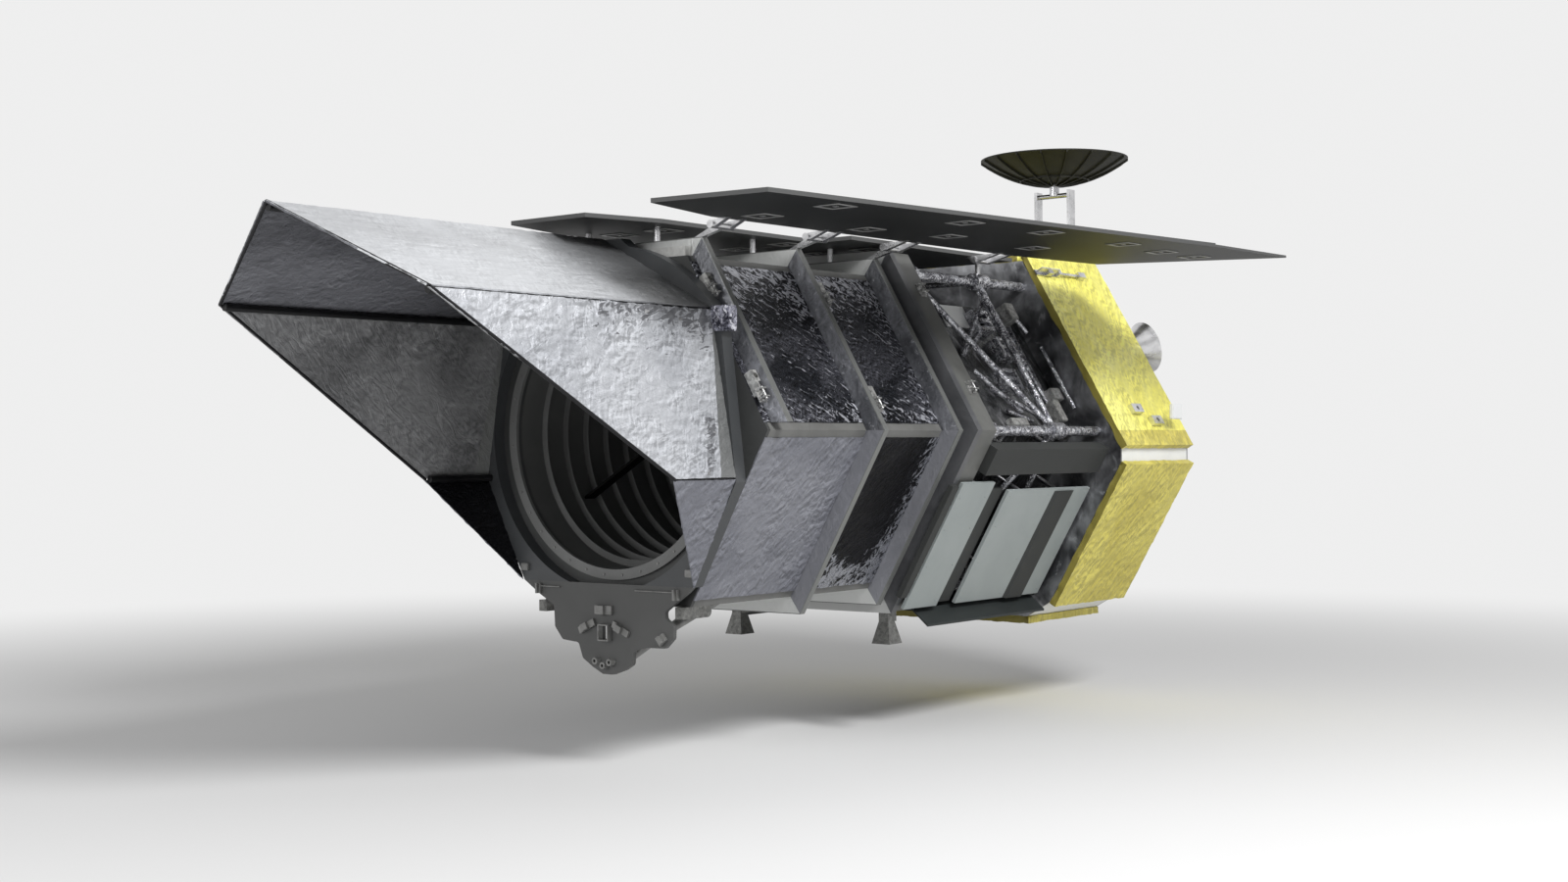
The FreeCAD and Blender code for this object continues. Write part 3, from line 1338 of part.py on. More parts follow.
shell = between(0, dish_skin).revolve(Vector(0, 0, 0), up, 360)
rib_plate = between(-rib_foot, dish_skin / 2).extrude(Vector(0, cell("dish_rib_thick"), 0))
rib_plate.translate(Vector(0, -cell("dish_rib_thick") / 2, 0))
neck_space = Part.makeCylinder(pin_radius * 2, dish_depth, up * -rib_foot, up)
trimmed = rib_plate.cut(neck_space)
ribs = []
for number in range(dish_rib_count):
    dish_rib = trimmed.copy()
    dish_rib.rotate(Vector(0, 0, 0), up, 360 * number / dish_rib_count)
    ribs.append(dish_rib)
ring_level = dish_depth * (cell("dish_ring_radius") / dish_radius) ** 2
ring_wall = cell("dish_rib_thick")
ring_foot = up * (ring_level - rib_foot)
dish_ring = Part.makeCylinder(cell("dish_ring_radius"), rib_foot + dish_skin, ring_foot, up)
dish_ring = dish_ring.cut(Part.makeCylinder(cell("dish_ring_radius") - ring_wall, rib_foot + dish_skin,
                                            ring_foot, up))
above = between(dish_skin / 2, dish_depth + dish_skin).revolve(Vector(0, 0, 0), up, 360)
dish = shell.fuse([shape.cut(above) for shape in ribs] + [dish_ring.cut(above)])
dish.translate(vertex)
solids("antenna_dish", [dish])
feed_level = dish_skin + dish_depth * (cell("feed_radius") / dish_radius) ** 2 + cell("clearance")
feed_foot = vertex.add(up * feed_level)
solids("antenna_feed", [Part.makeCylinder(cell("feed_radius"), cell("feed_height"), feed_foot, up)])

doc.recompute()
faults = [item.Label for item in doc.Objects if "Invalid" in item.State or "Error" in item.State]
for item in sub_parts:
    if item.Shape.isNull() or not item.Shape.isValid():
        faults.append(item.Label)
if faults:
    raise RuntimeError("not built: " + ", ".join(faults))

os.makedirs("parts", exist_ok=True)
for item in sub_parts:
    item.Shape.exportStep("parts/%s.step" % item.Label)
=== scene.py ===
import math

import bmesh
import bpy
from mathutils import Matrix, Vector


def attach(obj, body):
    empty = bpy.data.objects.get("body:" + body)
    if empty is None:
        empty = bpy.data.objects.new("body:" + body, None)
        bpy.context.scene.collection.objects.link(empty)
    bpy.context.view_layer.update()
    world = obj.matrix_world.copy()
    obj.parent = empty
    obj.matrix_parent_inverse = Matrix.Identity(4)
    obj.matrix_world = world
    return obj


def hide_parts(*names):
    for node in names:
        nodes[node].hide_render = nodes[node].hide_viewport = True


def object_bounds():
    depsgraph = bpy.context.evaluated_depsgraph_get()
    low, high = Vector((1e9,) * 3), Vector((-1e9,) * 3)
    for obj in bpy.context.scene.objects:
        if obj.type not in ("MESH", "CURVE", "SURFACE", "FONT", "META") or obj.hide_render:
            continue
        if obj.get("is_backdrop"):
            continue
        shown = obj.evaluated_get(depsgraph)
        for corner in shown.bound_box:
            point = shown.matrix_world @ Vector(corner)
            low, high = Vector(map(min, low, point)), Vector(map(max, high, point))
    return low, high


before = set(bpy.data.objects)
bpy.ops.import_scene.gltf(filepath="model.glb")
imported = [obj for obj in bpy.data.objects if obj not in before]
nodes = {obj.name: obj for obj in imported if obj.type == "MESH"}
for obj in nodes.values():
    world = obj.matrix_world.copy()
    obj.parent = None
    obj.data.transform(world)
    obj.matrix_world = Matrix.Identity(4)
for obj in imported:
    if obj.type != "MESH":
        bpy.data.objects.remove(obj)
cad_low, cad_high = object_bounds()

# The camera stands off the telescope's near front corner, level with the satellite and a
# little rolled, behind the lens that gives the photograph its perspective.
CAMERA_PLACE = Vector((21.149, 12.552, -0.187))
CAMERA_YAW = 0.903
CAMERA_PITCH = 0.005
CAMERA_ROLL = -0.009
CAMERA_LENS = 43.77
CAMERA_SENSOR = 36.0
forward = Vector((-math.sin(CAMERA_YAW) * math.cos(CAMERA_PITCH),
                  -math.cos(CAMERA_YAW) * math.cos(CAMERA_PITCH), math.sin(CAMERA_PITCH)))
level_right = forward.cross(Vector((0, 0, 1))).normalized()
level_up = level_right.cross(forward)
right = level_right * math.cos(CAMERA_ROLL) + level_up * math.sin(CAMERA_ROLL)
up = level_up * math.cos(CAMERA_ROLL) - level_right * math.sin(CAMERA_ROLL)
camera_data = bpy.data.cameras.new("camera")
camera_data.lens = CAMERA_LENS
camera_data.sensor_width = CAMERA_SENSOR
camera_data.clip_end = 300
camera = bpy.data.objects.new("camera", camera_data)
camera.matrix_world = Matrix.Translation(CAMERA_PLACE) @ Matrix((right, up, -forward)).transposed().to_4x4()
bpy.context.scene.collection.objects.link(camera)
bpy.context.scene.camera = camera
bpy.context.scene.view_settings.view_transform = "Standard"


# The studio is a pale floor well below the satellite, which fades into an even pale backdrop,
# with one large soft lamp above the camera's right and a weaker one low on the left.
def add_node(tree, kind, values=None, **settings):
    """A node with these settings, whose inputs take values, sockets or other nodes' first outputs."""
    node = tree.nodes.new(kind)
    for name, value in settings.items():
        setattr(node, name, value)
    for name, value in (values or {}).items():
        if isinstance(value, bpy.types.Node):
            value = next(socket for socket in value.outputs if socket.enabled)
        if isinstance(value, bpy.types.NodeSocket):
            tree.links.new(value, node.inputs[name])
        else:
            node.inputs[name].default_value = value
    return node


def calc(tree, operation, *values, kind="ShaderNodeMath"):
    """One step of arithmetic, on numbers or on vectors, with its values in input order."""
    return add_node(tree, kind, dict(enumerate(values)), operation=operation)


def remap(tree, value, low=0.0, high=1.0, start=0.0, end=1.0, smooth=False):
    """A value between low and high, moved to between start and end."""
    return add_node(tree, "ShaderNodeMapRange", {"Value": value, "From Min": low, "From Max": high,
                                                 "To Min": start, "To Max": end},
                    interpolation_type="SMOOTHSTEP" if smooth else "LINEAR")


def new_material(name):
    """An empty material and its tree."""
    material = bpy.data.materials.new(name)
    material.use_nodes = True
    material.node_tree.nodes.clear()
    return material, material.node_tree


FLOOR_DROP = 0.9
FLOOR_RADIUS = 60.0
FLOOR_TONE = (0.78, 0.78, 0.78, 1)
FADE_START = 9.0
FADE_END = 24.0
BACKDROP_TONE = (0.86, 0.86, 0.86, 1)
AMBIENT_STRENGTH = 0.42

middle = (cad_low + cad_high) / 2
floor_mesh = bpy.data.meshes.new("studio_floor")
floor_build = bmesh.new()
bmesh.ops.create_circle(floor_build, cap_ends=True, segments=96, radius=FLOOR_RADIUS)
bmesh.ops.translate(floor_build, vec=(middle.x, middle.y, cad_low.z - FLOOR_DROP), verts=floor_build.verts)
floor_build.to_mesh(floor_mesh)
floor_build.free()
floor = bpy.data.objects.new("studio_floor", floor_mesh)
bpy.context.scene.collection.objects.link(floor)
floor_material, tree = new_material("studio_floor")
place = add_node(tree, "ShaderNodeTexCoord").outputs["Object"]
ray = add_node(tree, "ShaderNodeLightPath").outputs
fade = remap(tree, calc(tree, "DISTANCE", place, middle, kind="ShaderNodeVectorMath"), FADE_START, FADE_END,
             smooth=True)
seen = calc(tree, "MAXIMUM", ray["Is Camera Ray"], ray["Is Glossy Ray"])
paint = add_node(tree, "ShaderNodeBsdfDiffuse", {"Color": FLOOR_TONE})
glow = add_node(tree, "ShaderNodeEmission", {"Color": BACKDROP_TONE, "Strength": 1.0})
blend = add_node(tree, "ShaderNodeMixShader", {0: calc(tree, "MULTIPLY", fade, seen), 1: paint, 2: glow})
add_node(tree, "ShaderNodeOutputMaterial", {"Surface": blend})
floor_mesh.materials.append(floor_material)
floor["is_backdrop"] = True

world = bpy.data.worlds.new("studio")
world.use_nodes = True
bpy.context.scene.world = world
tree = world.node_tree
tree.nodes.clear()
shown = add_node(tree, "ShaderNodeBackground", {"Color": BACKDROP_TONE, "Strength": 1.0})
ambient = add_node(tree, "ShaderNodeBackground", {"Color": (1, 1, 1, 1), "Strength": AMBIENT_STRENGTH})
ray = add_node(tree, "ShaderNodeLightPath").outputs
seen = calc(tree, "MAXIMUM", calc(tree, "MAXIMUM", ray["Is Camera Ray"], ray["Is Glossy Ray"]),
            ray["Is Transmission Ray"])
blend = add_node(tree, "ShaderNodeMixShader", {0: seen, 1: ambient, 2: shown})
add_node(tree, "ShaderNodeOutputWorld", {"Surface": blend})

LAMPS = {
    "key_lamp": {"place": Vector((11.0, 17.0, 13.0)), "size": 7.0, "power": 4200},
    "front_lamp": {"place": Vector((27.0, -3.0, 4.0)), "size": 8.0, "power": 1000},
}
for name, lamp in LAMPS.items():
    light = bpy.data.lights.new(name, "AREA")
    light.shape = "DISK"
    light.size = lamp["size"]
    light.energy = lamp["power"]
    lamp_object = bpy.data.objects.new(name, light)
    lamp_object.location = lamp["place"]
    lamp_object.rotation_euler = (middle - lamp["place"]).to_track_quat("-Z", "Y").to_euler()
    bpy.context.scene.collection.objects.link(lamp_object)


# Shared finish effects: the smudges and grain of a painted or bare panel, the wrinkles of a creased
# metal-coated film with painted shade and painted highlights, and the zones of a six-sided frame. Each is one
# node group.
def new_group(name, inputs, outputs):
    """An empty shader node group with float inputs and outputs beside its place input."""
    group = bpy.data.node_groups.new(name, "ShaderNodeTree")
    sockets = group.interface
    sockets.new_socket("Place", in_out="INPUT", socket_type="NodeSocketVector")
    for socket, value in inputs.items():
        sockets.new_socket(socket, in_out="INPUT", socket_type="NodeSocketFloat").default_value = value
    for socket in outputs:
        sockets.new_socket(socket, in_out="OUTPUT", socket_type="NodeSocketFloat")
    return group, group.nodes.new("NodeGroupInput").outputs


def noise(tree, place, scale, detail=2.0, roughness=0.5, distortion=0.0):
    """Drifting noise."""
    return add_node(tree, "ShaderNodeTexNoise", {"Vector": place, "Scale": scale, "Detail": detail,
                                                 "Roughness": roughness, "Distortion": distortion})


panel_wear, given = new_group("panel_wear", {"Smudge Scale": 2.0, "Grain Scale": 90.0}, ["Smudge", "Grain"])
add_node(panel_wear, "NodeGroupOutput", {
    "Smudge": noise(panel_wear, given["Place"], given["Smudge Scale"], 6.0, 0.62, 0.6),
    "Grain": noise(panel_wear, given["Place"], given["Grain Scale"], 3.0, 0.55)})

# A film's painted facet shade is the slope of its wrinkles, taken between two spots this far apart
# at scale 1 and painted lighter or darker as light would fall on it.
FACET_STEP = (0.09, 0.26)
FACET_SLOPE = 0.13
STREAK_SOFT = 0.08
PATCH_SCALE = 2.7
film_wrinkles_and_painted_light, given = new_group(
    "film_wrinkles_and_painted_light", {"Crumple": 0.0, "Streak Scale": 3.0, "Stretch": 4.0, "Turn": 0.0, "Calm Level": 0.7,
                     "Crumpled Level": 0.5, "Cloud Scale": 0.9}, ["Streak", "Height", "Cloud", "Painted Facet Shade"])
tree = film_wrinkles_and_painted_light
place = given["Place"]
squeeze = add_node(tree, "ShaderNodeCombineXYZ", {"X": 1.0, "Y": given["Stretch"], "Z": 1.0})
aside, lift = (calc(tree, "DIVIDE", step, given["Streak Scale"]) for step in FACET_STEP)
shift = add_node(tree, "ShaderNodeCombineXYZ", {"X": aside, "Y": lift})
shifted = calc(tree, "ADD", place, shift, kind="ShaderNodeVectorMath")
wrinkles = []
for spot in (place, shifted):
    turned = add_node(tree, "ShaderNodeVectorRotate", {"Vector": spot, "Angle": given["Turn"]},
                      rotation_type="Z_AXIS")
    placed = calc(tree, "MULTIPLY", turned, squeeze, kind="ShaderNodeVectorMath")
    wrinkles.append(noise(tree, placed, given["Streak Scale"], 5.0, 0.58, 1.3))
patch = noise(tree, place, calc(tree, "MULTIPLY", given["Cloud Scale"], PATCH_SCALE), distortion=0.8)
weight = calc(tree, "MULTIPLY", remap(tree, patch, 0.35, 0.65, 0.15),
              remap(tree, given["Crumple"], start=0.45, end=1.25))
leaning = calc(tree, "MULTIPLY", calc(tree, "SUBTRACT", *wrinkles), weight)
level = remap(tree, given["Crumple"], start=given["Calm Level"], end=given["Crumpled Level"])
# Streak marks the crease lines that the materials paint as highlights. Painted Facet Shade is painted shade
# from the wrinkles' slope.
add_node(tree, "NodeGroupOutput", {
    "Streak": remap(tree, wrinkles[0], level, calc(tree, "ADD", level, STREAK_SOFT), smooth=True),
    "Height": wrinkles[0], "Cloud": noise(tree, place, given["Cloud Scale"], 3.0, 0.5, 0.7),
    "Painted Facet Shade": remap(tree, leaning, -FACET_SLOPE, FACET_SLOPE)})

SLANT = math.radians(30)
NO_CROWN = 9.0
frame_zones, given = new_group("frame_zones", {"Crown Level": NO_CROWN}, ["Level Side", "Crown"])
tree = frame_zones
split = add_node(tree, "ShaderNodeSeparateXYZ", {"Vector": given["Place"]}).outputs
rise = calc(tree, "ABSOLUTE", split["Z"])
across_share = calc(tree, "MULTIPLY", calc(tree, "ABSOLUTE", split["Y"]), math.cos(SLANT))
slant_reach = calc(tree, "MULTIPLY_ADD", rise, math.sin(SLANT), across_share)
outermost = calc(tree, "MAXIMUM", rise, slant_reach)
add_node(tree, "NodeGroupOutput", {"Level Side": calc(tree, "GREATER_THAN", rise, slant_reach),
                                   "Crown": calc(tree, "GREATER_THAN", outermost, given["Crown Level"])})


def two_tones(tree, mask, dark, light, low=0.32, high=0.68):
    """The tone between a dark one and a light one that a mask gives."""
    ramp = add_node(tree, "ShaderNodeValToRGB", {"Fac": mask})
    for element, position, tone in zip(ramp.color_ramp.elements, (low, high), (dark, light)):
        element.position = position
        element.color = (*tone, 1)
    return ramp


def placed_group(tree, group, values):
    """The outputs of a shared effect placed in a material with its own values."""
    return add_node(tree, "ShaderNodeGroup", values, node_tree=group).outputs


def over(tree, mask, below, tone):
    """A tone laid over what is below where the mask is 1."""
    values = {"Factor": mask, "A": below, "B": (*tone, 1)}
    return add_node(tree, "ShaderNodeMix", values, data_type="RGBA").outputs["Result"]


def above_level(tree, place, level, below=False):
    """A mask that is 1 above a level, or below it."""
    height = add_node(tree, "ShaderNodeSeparateXYZ", {"Vector": place}).outputs["Z"]
    return calc(tree, "LESS_THAN" if below else "GREATER_THAN", height, level)


BAND_COVER = 0.75


def zoned(tree, place, colour, zones, bands):
    """The colour with a frame's level sides and crown, and levels' bands, in their own tones."""
    for level, tone, below in bands:
        covering = calc(tree, "MULTIPLY", above_level(tree, place, level, below), BAND_COVER)
        colour = over(tree, covering, colour, tone)
    if zones:
        shape = placed_group(tree, frame_zones, {"Place": place, "Crown Level": zones["crown_level"]})
        colour = over(tree, shape["Level Side"], colour, zones["level_side"])
        colour = over(tree, shape["Crown"], colour, zones["crown"])
    return colour


def finish_material(tree, colour, roughness, height, strength, relief, metallic=0.0, gloss=0.5):
    """The end of a material: one shader, with a bump from a height."""
    bump = add_node(tree, "ShaderNodeBump", {"Height": height, "Strength": strength, "Distance": relief})
    shader = add_node(tree, "ShaderNodeBsdfPrincipled", {
        "Base Color": colour, "Roughness": roughness, "Metallic": metallic, "Normal": bump,
        "Specular IOR Level": gloss})
    add_node(tree, "ShaderNodeOutputMaterial", {"Surface": shader})


SHEEN_SPREAD = 0.07


def panel_material(name, dark, light, roughness, metallic=0.0, smudge_scale=2.0, grain_scale=90.0,
                   relief=0.0012, zones=None, bands=(), gloss=0.5):
    """A painted or bare panel: two tones that drift into each other, with a fine grain.

    Zones give a six-sided frame's level sides and its crown their own tones, and each band
    is a level, a tone and whether it lies below that level.
    """
    material, tree = new_material(name)
    place = add_node(tree, "ShaderNodeTexCoord").outputs["Object"]
    wear = placed_group(tree, panel_wear, {"Place": place, "Smudge Scale": smudge_scale,
                                           "Grain Scale": grain_scale})
    sheen = remap(tree, wear["Smudge"], start=roughness - SHEEN_SPREAD, end=roughness + SHEEN_SPREAD)
    colour = zoned(tree, place, two_tones(tree, wear["Smudge"], dark, light), zones, bands)
    finish_material(tree, colour, sheen, wear["Grain"], 0.5, relief, metallic, gloss)
    return material


def attribute(tree, name, output="Fac"):
    """A value that the piece's mesh keeps for itself."""
    return add_node(tree, "ShaderNodeAttribute", attribute_name=name).outputs[output]


# A second set of wrinkles crosses the first, finer, less stretched and fainter.
CROSS_SCALE = 1.9
CROSS_STRETCH = 0.6
CROSS_TURN = 1.1
CROSS_HEIGHT = 0.45


def film_material(name, dark, light, painted_streak_tone, roughness, metallic, scale=9.0, stretch=2.5, turn=0.0,
                  calm=0.7, crumpled=0.5, relief=0.01, painted_streak_share=1.0, painted_facet_shade=(0.7, 1.15),
                  cloud_scale=0.9, collar=None, collar_soft=0.004, on_node=False, zones=None, bands=(),
                  gloss=0.5):
    """A creased metal-coated film: two clouded tones, light and dark facets, and streaks.

    Its place and crumple come from the piece's own attributes, or on a plain node from its
    coordinates. A collar tone covers the plain strip beside the frame, or lays painted shade that fades out
    from the frame.
    """
    material, tree = new_material(name)
    if on_node:
        shared = {"Place": add_node(tree, "ShaderNodeTexCoord").outputs["Object"]}
    else:
        shared = {"Place": attribute(tree, "lay", "Vector"), "Crumple": attribute(tree, "crumple")}
    along = placed_group(tree, film_wrinkles_and_painted_light, {**shared, "Streak Scale": scale, "Stretch": stretch,
                                              "Turn": turn, "Calm Level": calm,
                                              "Crumpled Level": crumpled, "Cloud Scale": cloud_scale})
    cross = placed_group(tree, film_wrinkles_and_painted_light, {**shared, "Streak Scale": scale * CROSS_SCALE,
                                              "Stretch": stretch * CROSS_STRETCH,
                                              "Turn": turn + CROSS_TURN, "Calm Level": calm + 0.03,
                                              "Crumpled Level": crumpled + 0.05})
    tones = two_tones(tree, along["Cloud"], dark, light, 0.4, 0.6)
    # Painted shade: the wrinkles' slope lightens and darkens the clouded tones as light would fall on them.
    shade = remap(tree, calc(tree, "ADD", along["Painted Facet Shade"], cross["Painted Facet Shade"]), 0.55, 1.45, *painted_facet_shade)
    shaded = add_node(tree, "ShaderNodeVectorMath", {0: tones, "Scale": shade}, operation="SCALE")
    # Painted highlights: the crease lines take the streak tone, which on the silver cover is dark painted
    # crease shade.
    painted_streaks = calc(tree, "MAXIMUM", along["Streak"], cross["Streak"])
    colour = over(tree, calc(tree, "MULTIPLY", painted_streaks, painted_streak_share), shaded, painted_streak_tone)
    height = calc(tree, "MULTIPLY_ADD", cross["Height"], CROSS_HEIGHT, along["Height"])
    if collar:
        edge = remap(tree, attribute(tree, "collar"), -collar_soft, collar_soft, smooth=True)
        colour = over(tree, edge, colour, collar)
    colour = zoned(tree, shared["Place"], colour, zones, bands)
    finish_material(tree, colour, roughness, height, 0.9, relief, metallic, gloss)
    return material


def paint_nodes(material, *names):
    """Give CAD nodes this material."""
    for name in names:
        slots = nodes[name].data.materials
        slots.clear()
        slots.append(material)


# The launch adapter ring is a turned aluminium shell with bolted flanges. The whole
# satellite is held by it.
ring_metal = panel_material("ring_metal", (0.42, 0.42, 0.40), (0.58, 0.58, 0.56), 0.38, metallic=0.9)
paint_nodes(ring_metal, "adapter_ring")

# The service module is a six-sided box of deck plates. Thick foil-wrapped blankets are laced
# to its upper, lower and slanted sides, and its two flat sides are bare white panels.
white_panel = panel_material("white_panel", (0.72, 0.73, 0.73), (0.80, 0.81, 0.81), 0.55)
deck_metal = film_material(
    "deck_film", (0.060, 0.061, 0.066), (0.32, 0.325, 0.34), (0.42, 0.43, 0.45), 0.30, 0.7, scale=2.2,
    stretch=2.2, turn=0.5, calm=0.60, crumpled=0.6, relief=0.01, cloud_scale=1.6, painted_streak_share=0.6,
    painted_facet_shade=(0.6, 1.4), on_node=True)
YELLOW_CREASES = {"scale": 5.0, "stretch": 2.0, "turn": 0.9, "calm": 0.68, "crumpled": 0.60, "relief": 0.02,
                  "painted_streak_share": 0.4, "painted_facet_shade": (0.72, 1.2)}
yellow_film = film_material(
    "yellow_film", (0.86, 0.80, 0.15), (0.93, 0.89, 0.24), (0.95, 0.92, 0.50), 0.42, 0.1, **YELLOW_CREASES)
# The blankets' lower sides use a darker copy of the yellow film: painted shade.
shaded_yellow = film_material(
    "shaded_yellow_film", (0.58, 0.50, 0.09), (0.68, 0.60, 0.125), (0.85, 0.79, 0.34), 0.42, 0.1,
    **YELLOW_CREASES)
yellow_edge = panel_material("yellow_edge", (0.20, 0.17, 0.03), (0.26, 0.22, 0.04), 0.5)
paint_nodes(white_panel, "bus_core")
aft_metal = panel_material("aft_metal", (0.20, 0.203, 0.21), (0.34, 0.343, 0.35), 0.34, metallic=0.6,
                           smudge_scale=3.0)
paint_nodes(deck_metal, "bus_front_deck")
paint_nodes(aft_metal, "bus_aft_deck")


def new_shaper(name, sizes, coats):
    """An empty Geometry Nodes tree with size and material inputs beside its geometry."""
    tree = bpy.data.node_groups.new(name, "GeometryNodeTree")
    sockets = tree.interface
    sockets.new_socket("Geometry", in_out="INPUT", socket_type="NodeSocketGeometry")
    for socket, value in sizes.items():
        sockets.new_socket(socket, in_out="INPUT", socket_type="NodeSocketFloat").default_value = value
    for socket in coats:
        sockets.new_socket(socket, in_out="INPUT", socket_type="NodeSocketMaterial")
    sockets.new_socket("Geometry", in_out="OUTPUT", socket_type="NodeSocketGeometry")
    return tree, tree.nodes.new("NodeGroupInput").outputs


def mesh_value(tree, name, data_type):
    """A value that the mesh given to a Geometry Nodes tree keeps for itself."""
    return add_node(tree, "GeometryNodeInputNamedAttribute", {"Name": name},
                    data_type=data_type).outputs["Attribute"]


def pushed(tree, shape, distance):
    """The shape with each point moved along its normal."""
    normal = add_node(tree, "GeometryNodeInputNormal")
    offset = add_node(tree, "ShaderNodeVectorMath", {0: normal, "Scale": distance}, operation="SCALE")
    return add_node(tree, "GeometryNodeSetPosition", {"Geometry": shape, "Offset": offset})


FILM_SOCKETS = ("Outer Film", "Second Film", "Third Film")
FACET_DEPTH = 0.35
RIPPLE_DEPTH = 0.65
crinkled_film, given = new_shaper("crinkled_film", {"Crease Size": 0.2, "Depth": 0.01}, FILM_SOCKETS)
tree = crinkled_film
place = add_node(tree, "GeometryNodeInputPosition")
inverse = calc(tree, "DIVIDE", 1.0, given["Crease Size"])
wander = noise(tree, place, inverse, 3.0).outputs["Color"]
shifted = calc(tree, "MULTIPLY_ADD", wander, given["Crease Size"], place, kind="ShaderNodeVectorMath")
cells = add_node(tree, "ShaderNodeTexVoronoi", {"Vector": shifted, "Scale": inverse}, feature="F1")
ripple = noise(tree, shifted, inverse, 5.0, 0.62, 0.9)
total = calc(tree, "ADD", remap(tree, cells, 0.0, 0.8, FACET_DEPTH, -FACET_DEPTH),
             remap(tree, ripple, 0.3, 0.7, -RIPPLE_DEPTH, RIPPLE_DEPTH))
weight = remap(tree, mesh_value(tree, "crumple", "FLOAT"), start=0.25)
deep = calc(tree, "MULTIPLY", calc(tree, "MULTIPLY", total, given["Depth"]), weight)
covered = add_node(tree, "GeometryNodeRealizeInstances", {"Geometry": pushed(tree, given["Geometry"], deep)})
zone = mesh_value(tree, "zone", "INT")
for number, socket in enumerate(FILM_SOCKETS):
    chosen = add_node(tree, "FunctionNodeCompare", {"A": zone, "B": number}, data_type="INT",
                      operation="EQUAL")
    covered = add_node(tree, "GeometryNodeSetMaterial", {"Geometry": covered, "Selection": chosen,
                                                         "Material": given[socket]})
add_node(tree, "NodeGroupOutput", {"Geometry": covered})


def settled(piece):
    """Swap a piece's live node tree for the plain mesh that it makes."""
    graph = bpy.context.evaluated_depsgraph_get()
    mesh = bpy.data.meshes.new_from_object(piece.evaluated_get(graph))
    mesh.name = piece.name
    piece.modifiers.clear()
    piece.data = mesh


def grown(name, mesh, tree, values):
    """A piece that a node tree makes from a mesh, its inputs set by their sockets."""
    piece = bpy.data.objects.new(name, mesh)
    bpy.context.scene.collection.objects.link(piece)
    modifier = piece.modifiers.new(tree.name, "NODES")
    modifier.node_group = tree
    for socket in tree.interface.items_tree:
        if socket.in_out == "INPUT" and socket.name in values:
            modifier[socket.identifier] = values[socket.name]
    settled(piece)
    return piece


WRAP_RADIUS = 1.9
MERGE = 0.0001
FLAT_ANGLE = math.radians(1)
FILM_SHARP = math.radians(40)


def cuts_for(length, step):
    """How many steps an edge is divided into, as a power of two."""
    return 2 ** max(0, round(math.log2(max(length, step) / step)))


def film_piece(name, node, films, step, crease_size, depth, crumple, zone=None, collar=None):
    """A CAD plate remade as creased film, its faces divided to about this step.

    Each point keeps its place along and around the body, and how crumpled it is there.
    """
    build = bmesh.new()
    build.from_mesh(nodes[node].data)
    bmesh.ops.remove_doubles(build, verts=build.verts, dist=MERGE)
    bmesh.ops.dissolve_limit(build, angle_limit=FLAT_ANGLE, verts=build.verts, edges=build.edges)
    sizes = {cuts_for(edge.calc_length(), step) for edge in build.edges} - {1}
    for size in sorted(sizes, reverse=True):
        edges = [edge for edge in build.edges if cuts_for(edge.calc_length(), step) == size]
        bmesh.ops.subdivide_edges(build, edges=edges, cuts=size - 1, use_grid_fill=True)
    mesh = bpy.data.meshes.new(name)
    build.to_mesh(mesh)
    build.free()
    points = [vertex.co.copy() for vertex in mesh.vertices]
    lay = [part for point in points for part in (point.x, WRAP_RADIUS * math.atan2(point.z, abs(point.y)), 0)]
    mesh.attributes.new("lay", "FLOAT_VECTOR", "POINT").data.foreach_set("vector", lay)
    creased = [min(1.0, max(0.0, crumple(point))) for point in points]
    mesh.attributes.new("crumple", "FLOAT", "POINT").data.foreach_set("value", creased)
    strip = [collar(point) if collar else -1.0 for point in points]
    mesh.attributes.new("collar", "FLOAT", "POINT").data.foreach_set("value", strip)
    zones = [zone(face.center, face.normal) if zone else 0 for face in mesh.polygons]
    mesh.attributes.new("zone", "INT", "FACE").data.foreach_set("value", zones)
    values = {"Crease Size": crease_size, "Depth": depth}
    values.update(zip(FILM_SOCKETS, films + films[-1:] * (len(FILM_SOCKETS) - len(films))))
    piece = grown(name, mesh, crinkled_film, values)
    piece.data.shade_smooth()
    piece.data.set_sharp_from_angle(angle=FILM_SHARP)
    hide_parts(node)
    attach(piece, "root")
    return piece


def near_edge(place, edge, width):
    """1 at an edge, falling to 0 over the width."""
    return math.exp(-((place - edge) / width) ** 2)


BLANKET_FRONT = 1.98
WING_SHADE = 1.5


def blanket_crumple(point):
    """Blankets wrinkle most near their front edge and below the wing."""
    return 0.35 + 0.5 * near_edge(point.x, BLANKET_FRONT, 0.35) + 0.3 * near_edge(point.z, WING_SHADE, 0.5)


def blanket_zone(centre, normal):
    """The cut edges of a blanket are olive, and its lower sides take a darker yellow as painted shade."""
    if abs(normal.x) > 0.7:
        return 1
    return 0 if centre.z > 0 else 2


blankets = film_piece("yellow_blankets", "bus_blankets", [yellow_film, yellow_edge, shaded_yellow], 0.03,
                      0.22, 0.018, blanket_crumple, blanket_zone)

# The flared cup on the aft deck is spun from bright aluminium.
silver_metal = panel_material("silver_metal", (0.42, 0.42, 0.43), (0.78, 0.78, 0.79), 0.28, metallic=1.0,
                              smudge_scale=5.0)
paint_nodes(silver_metal, "aft_cup", "bus_fittings")

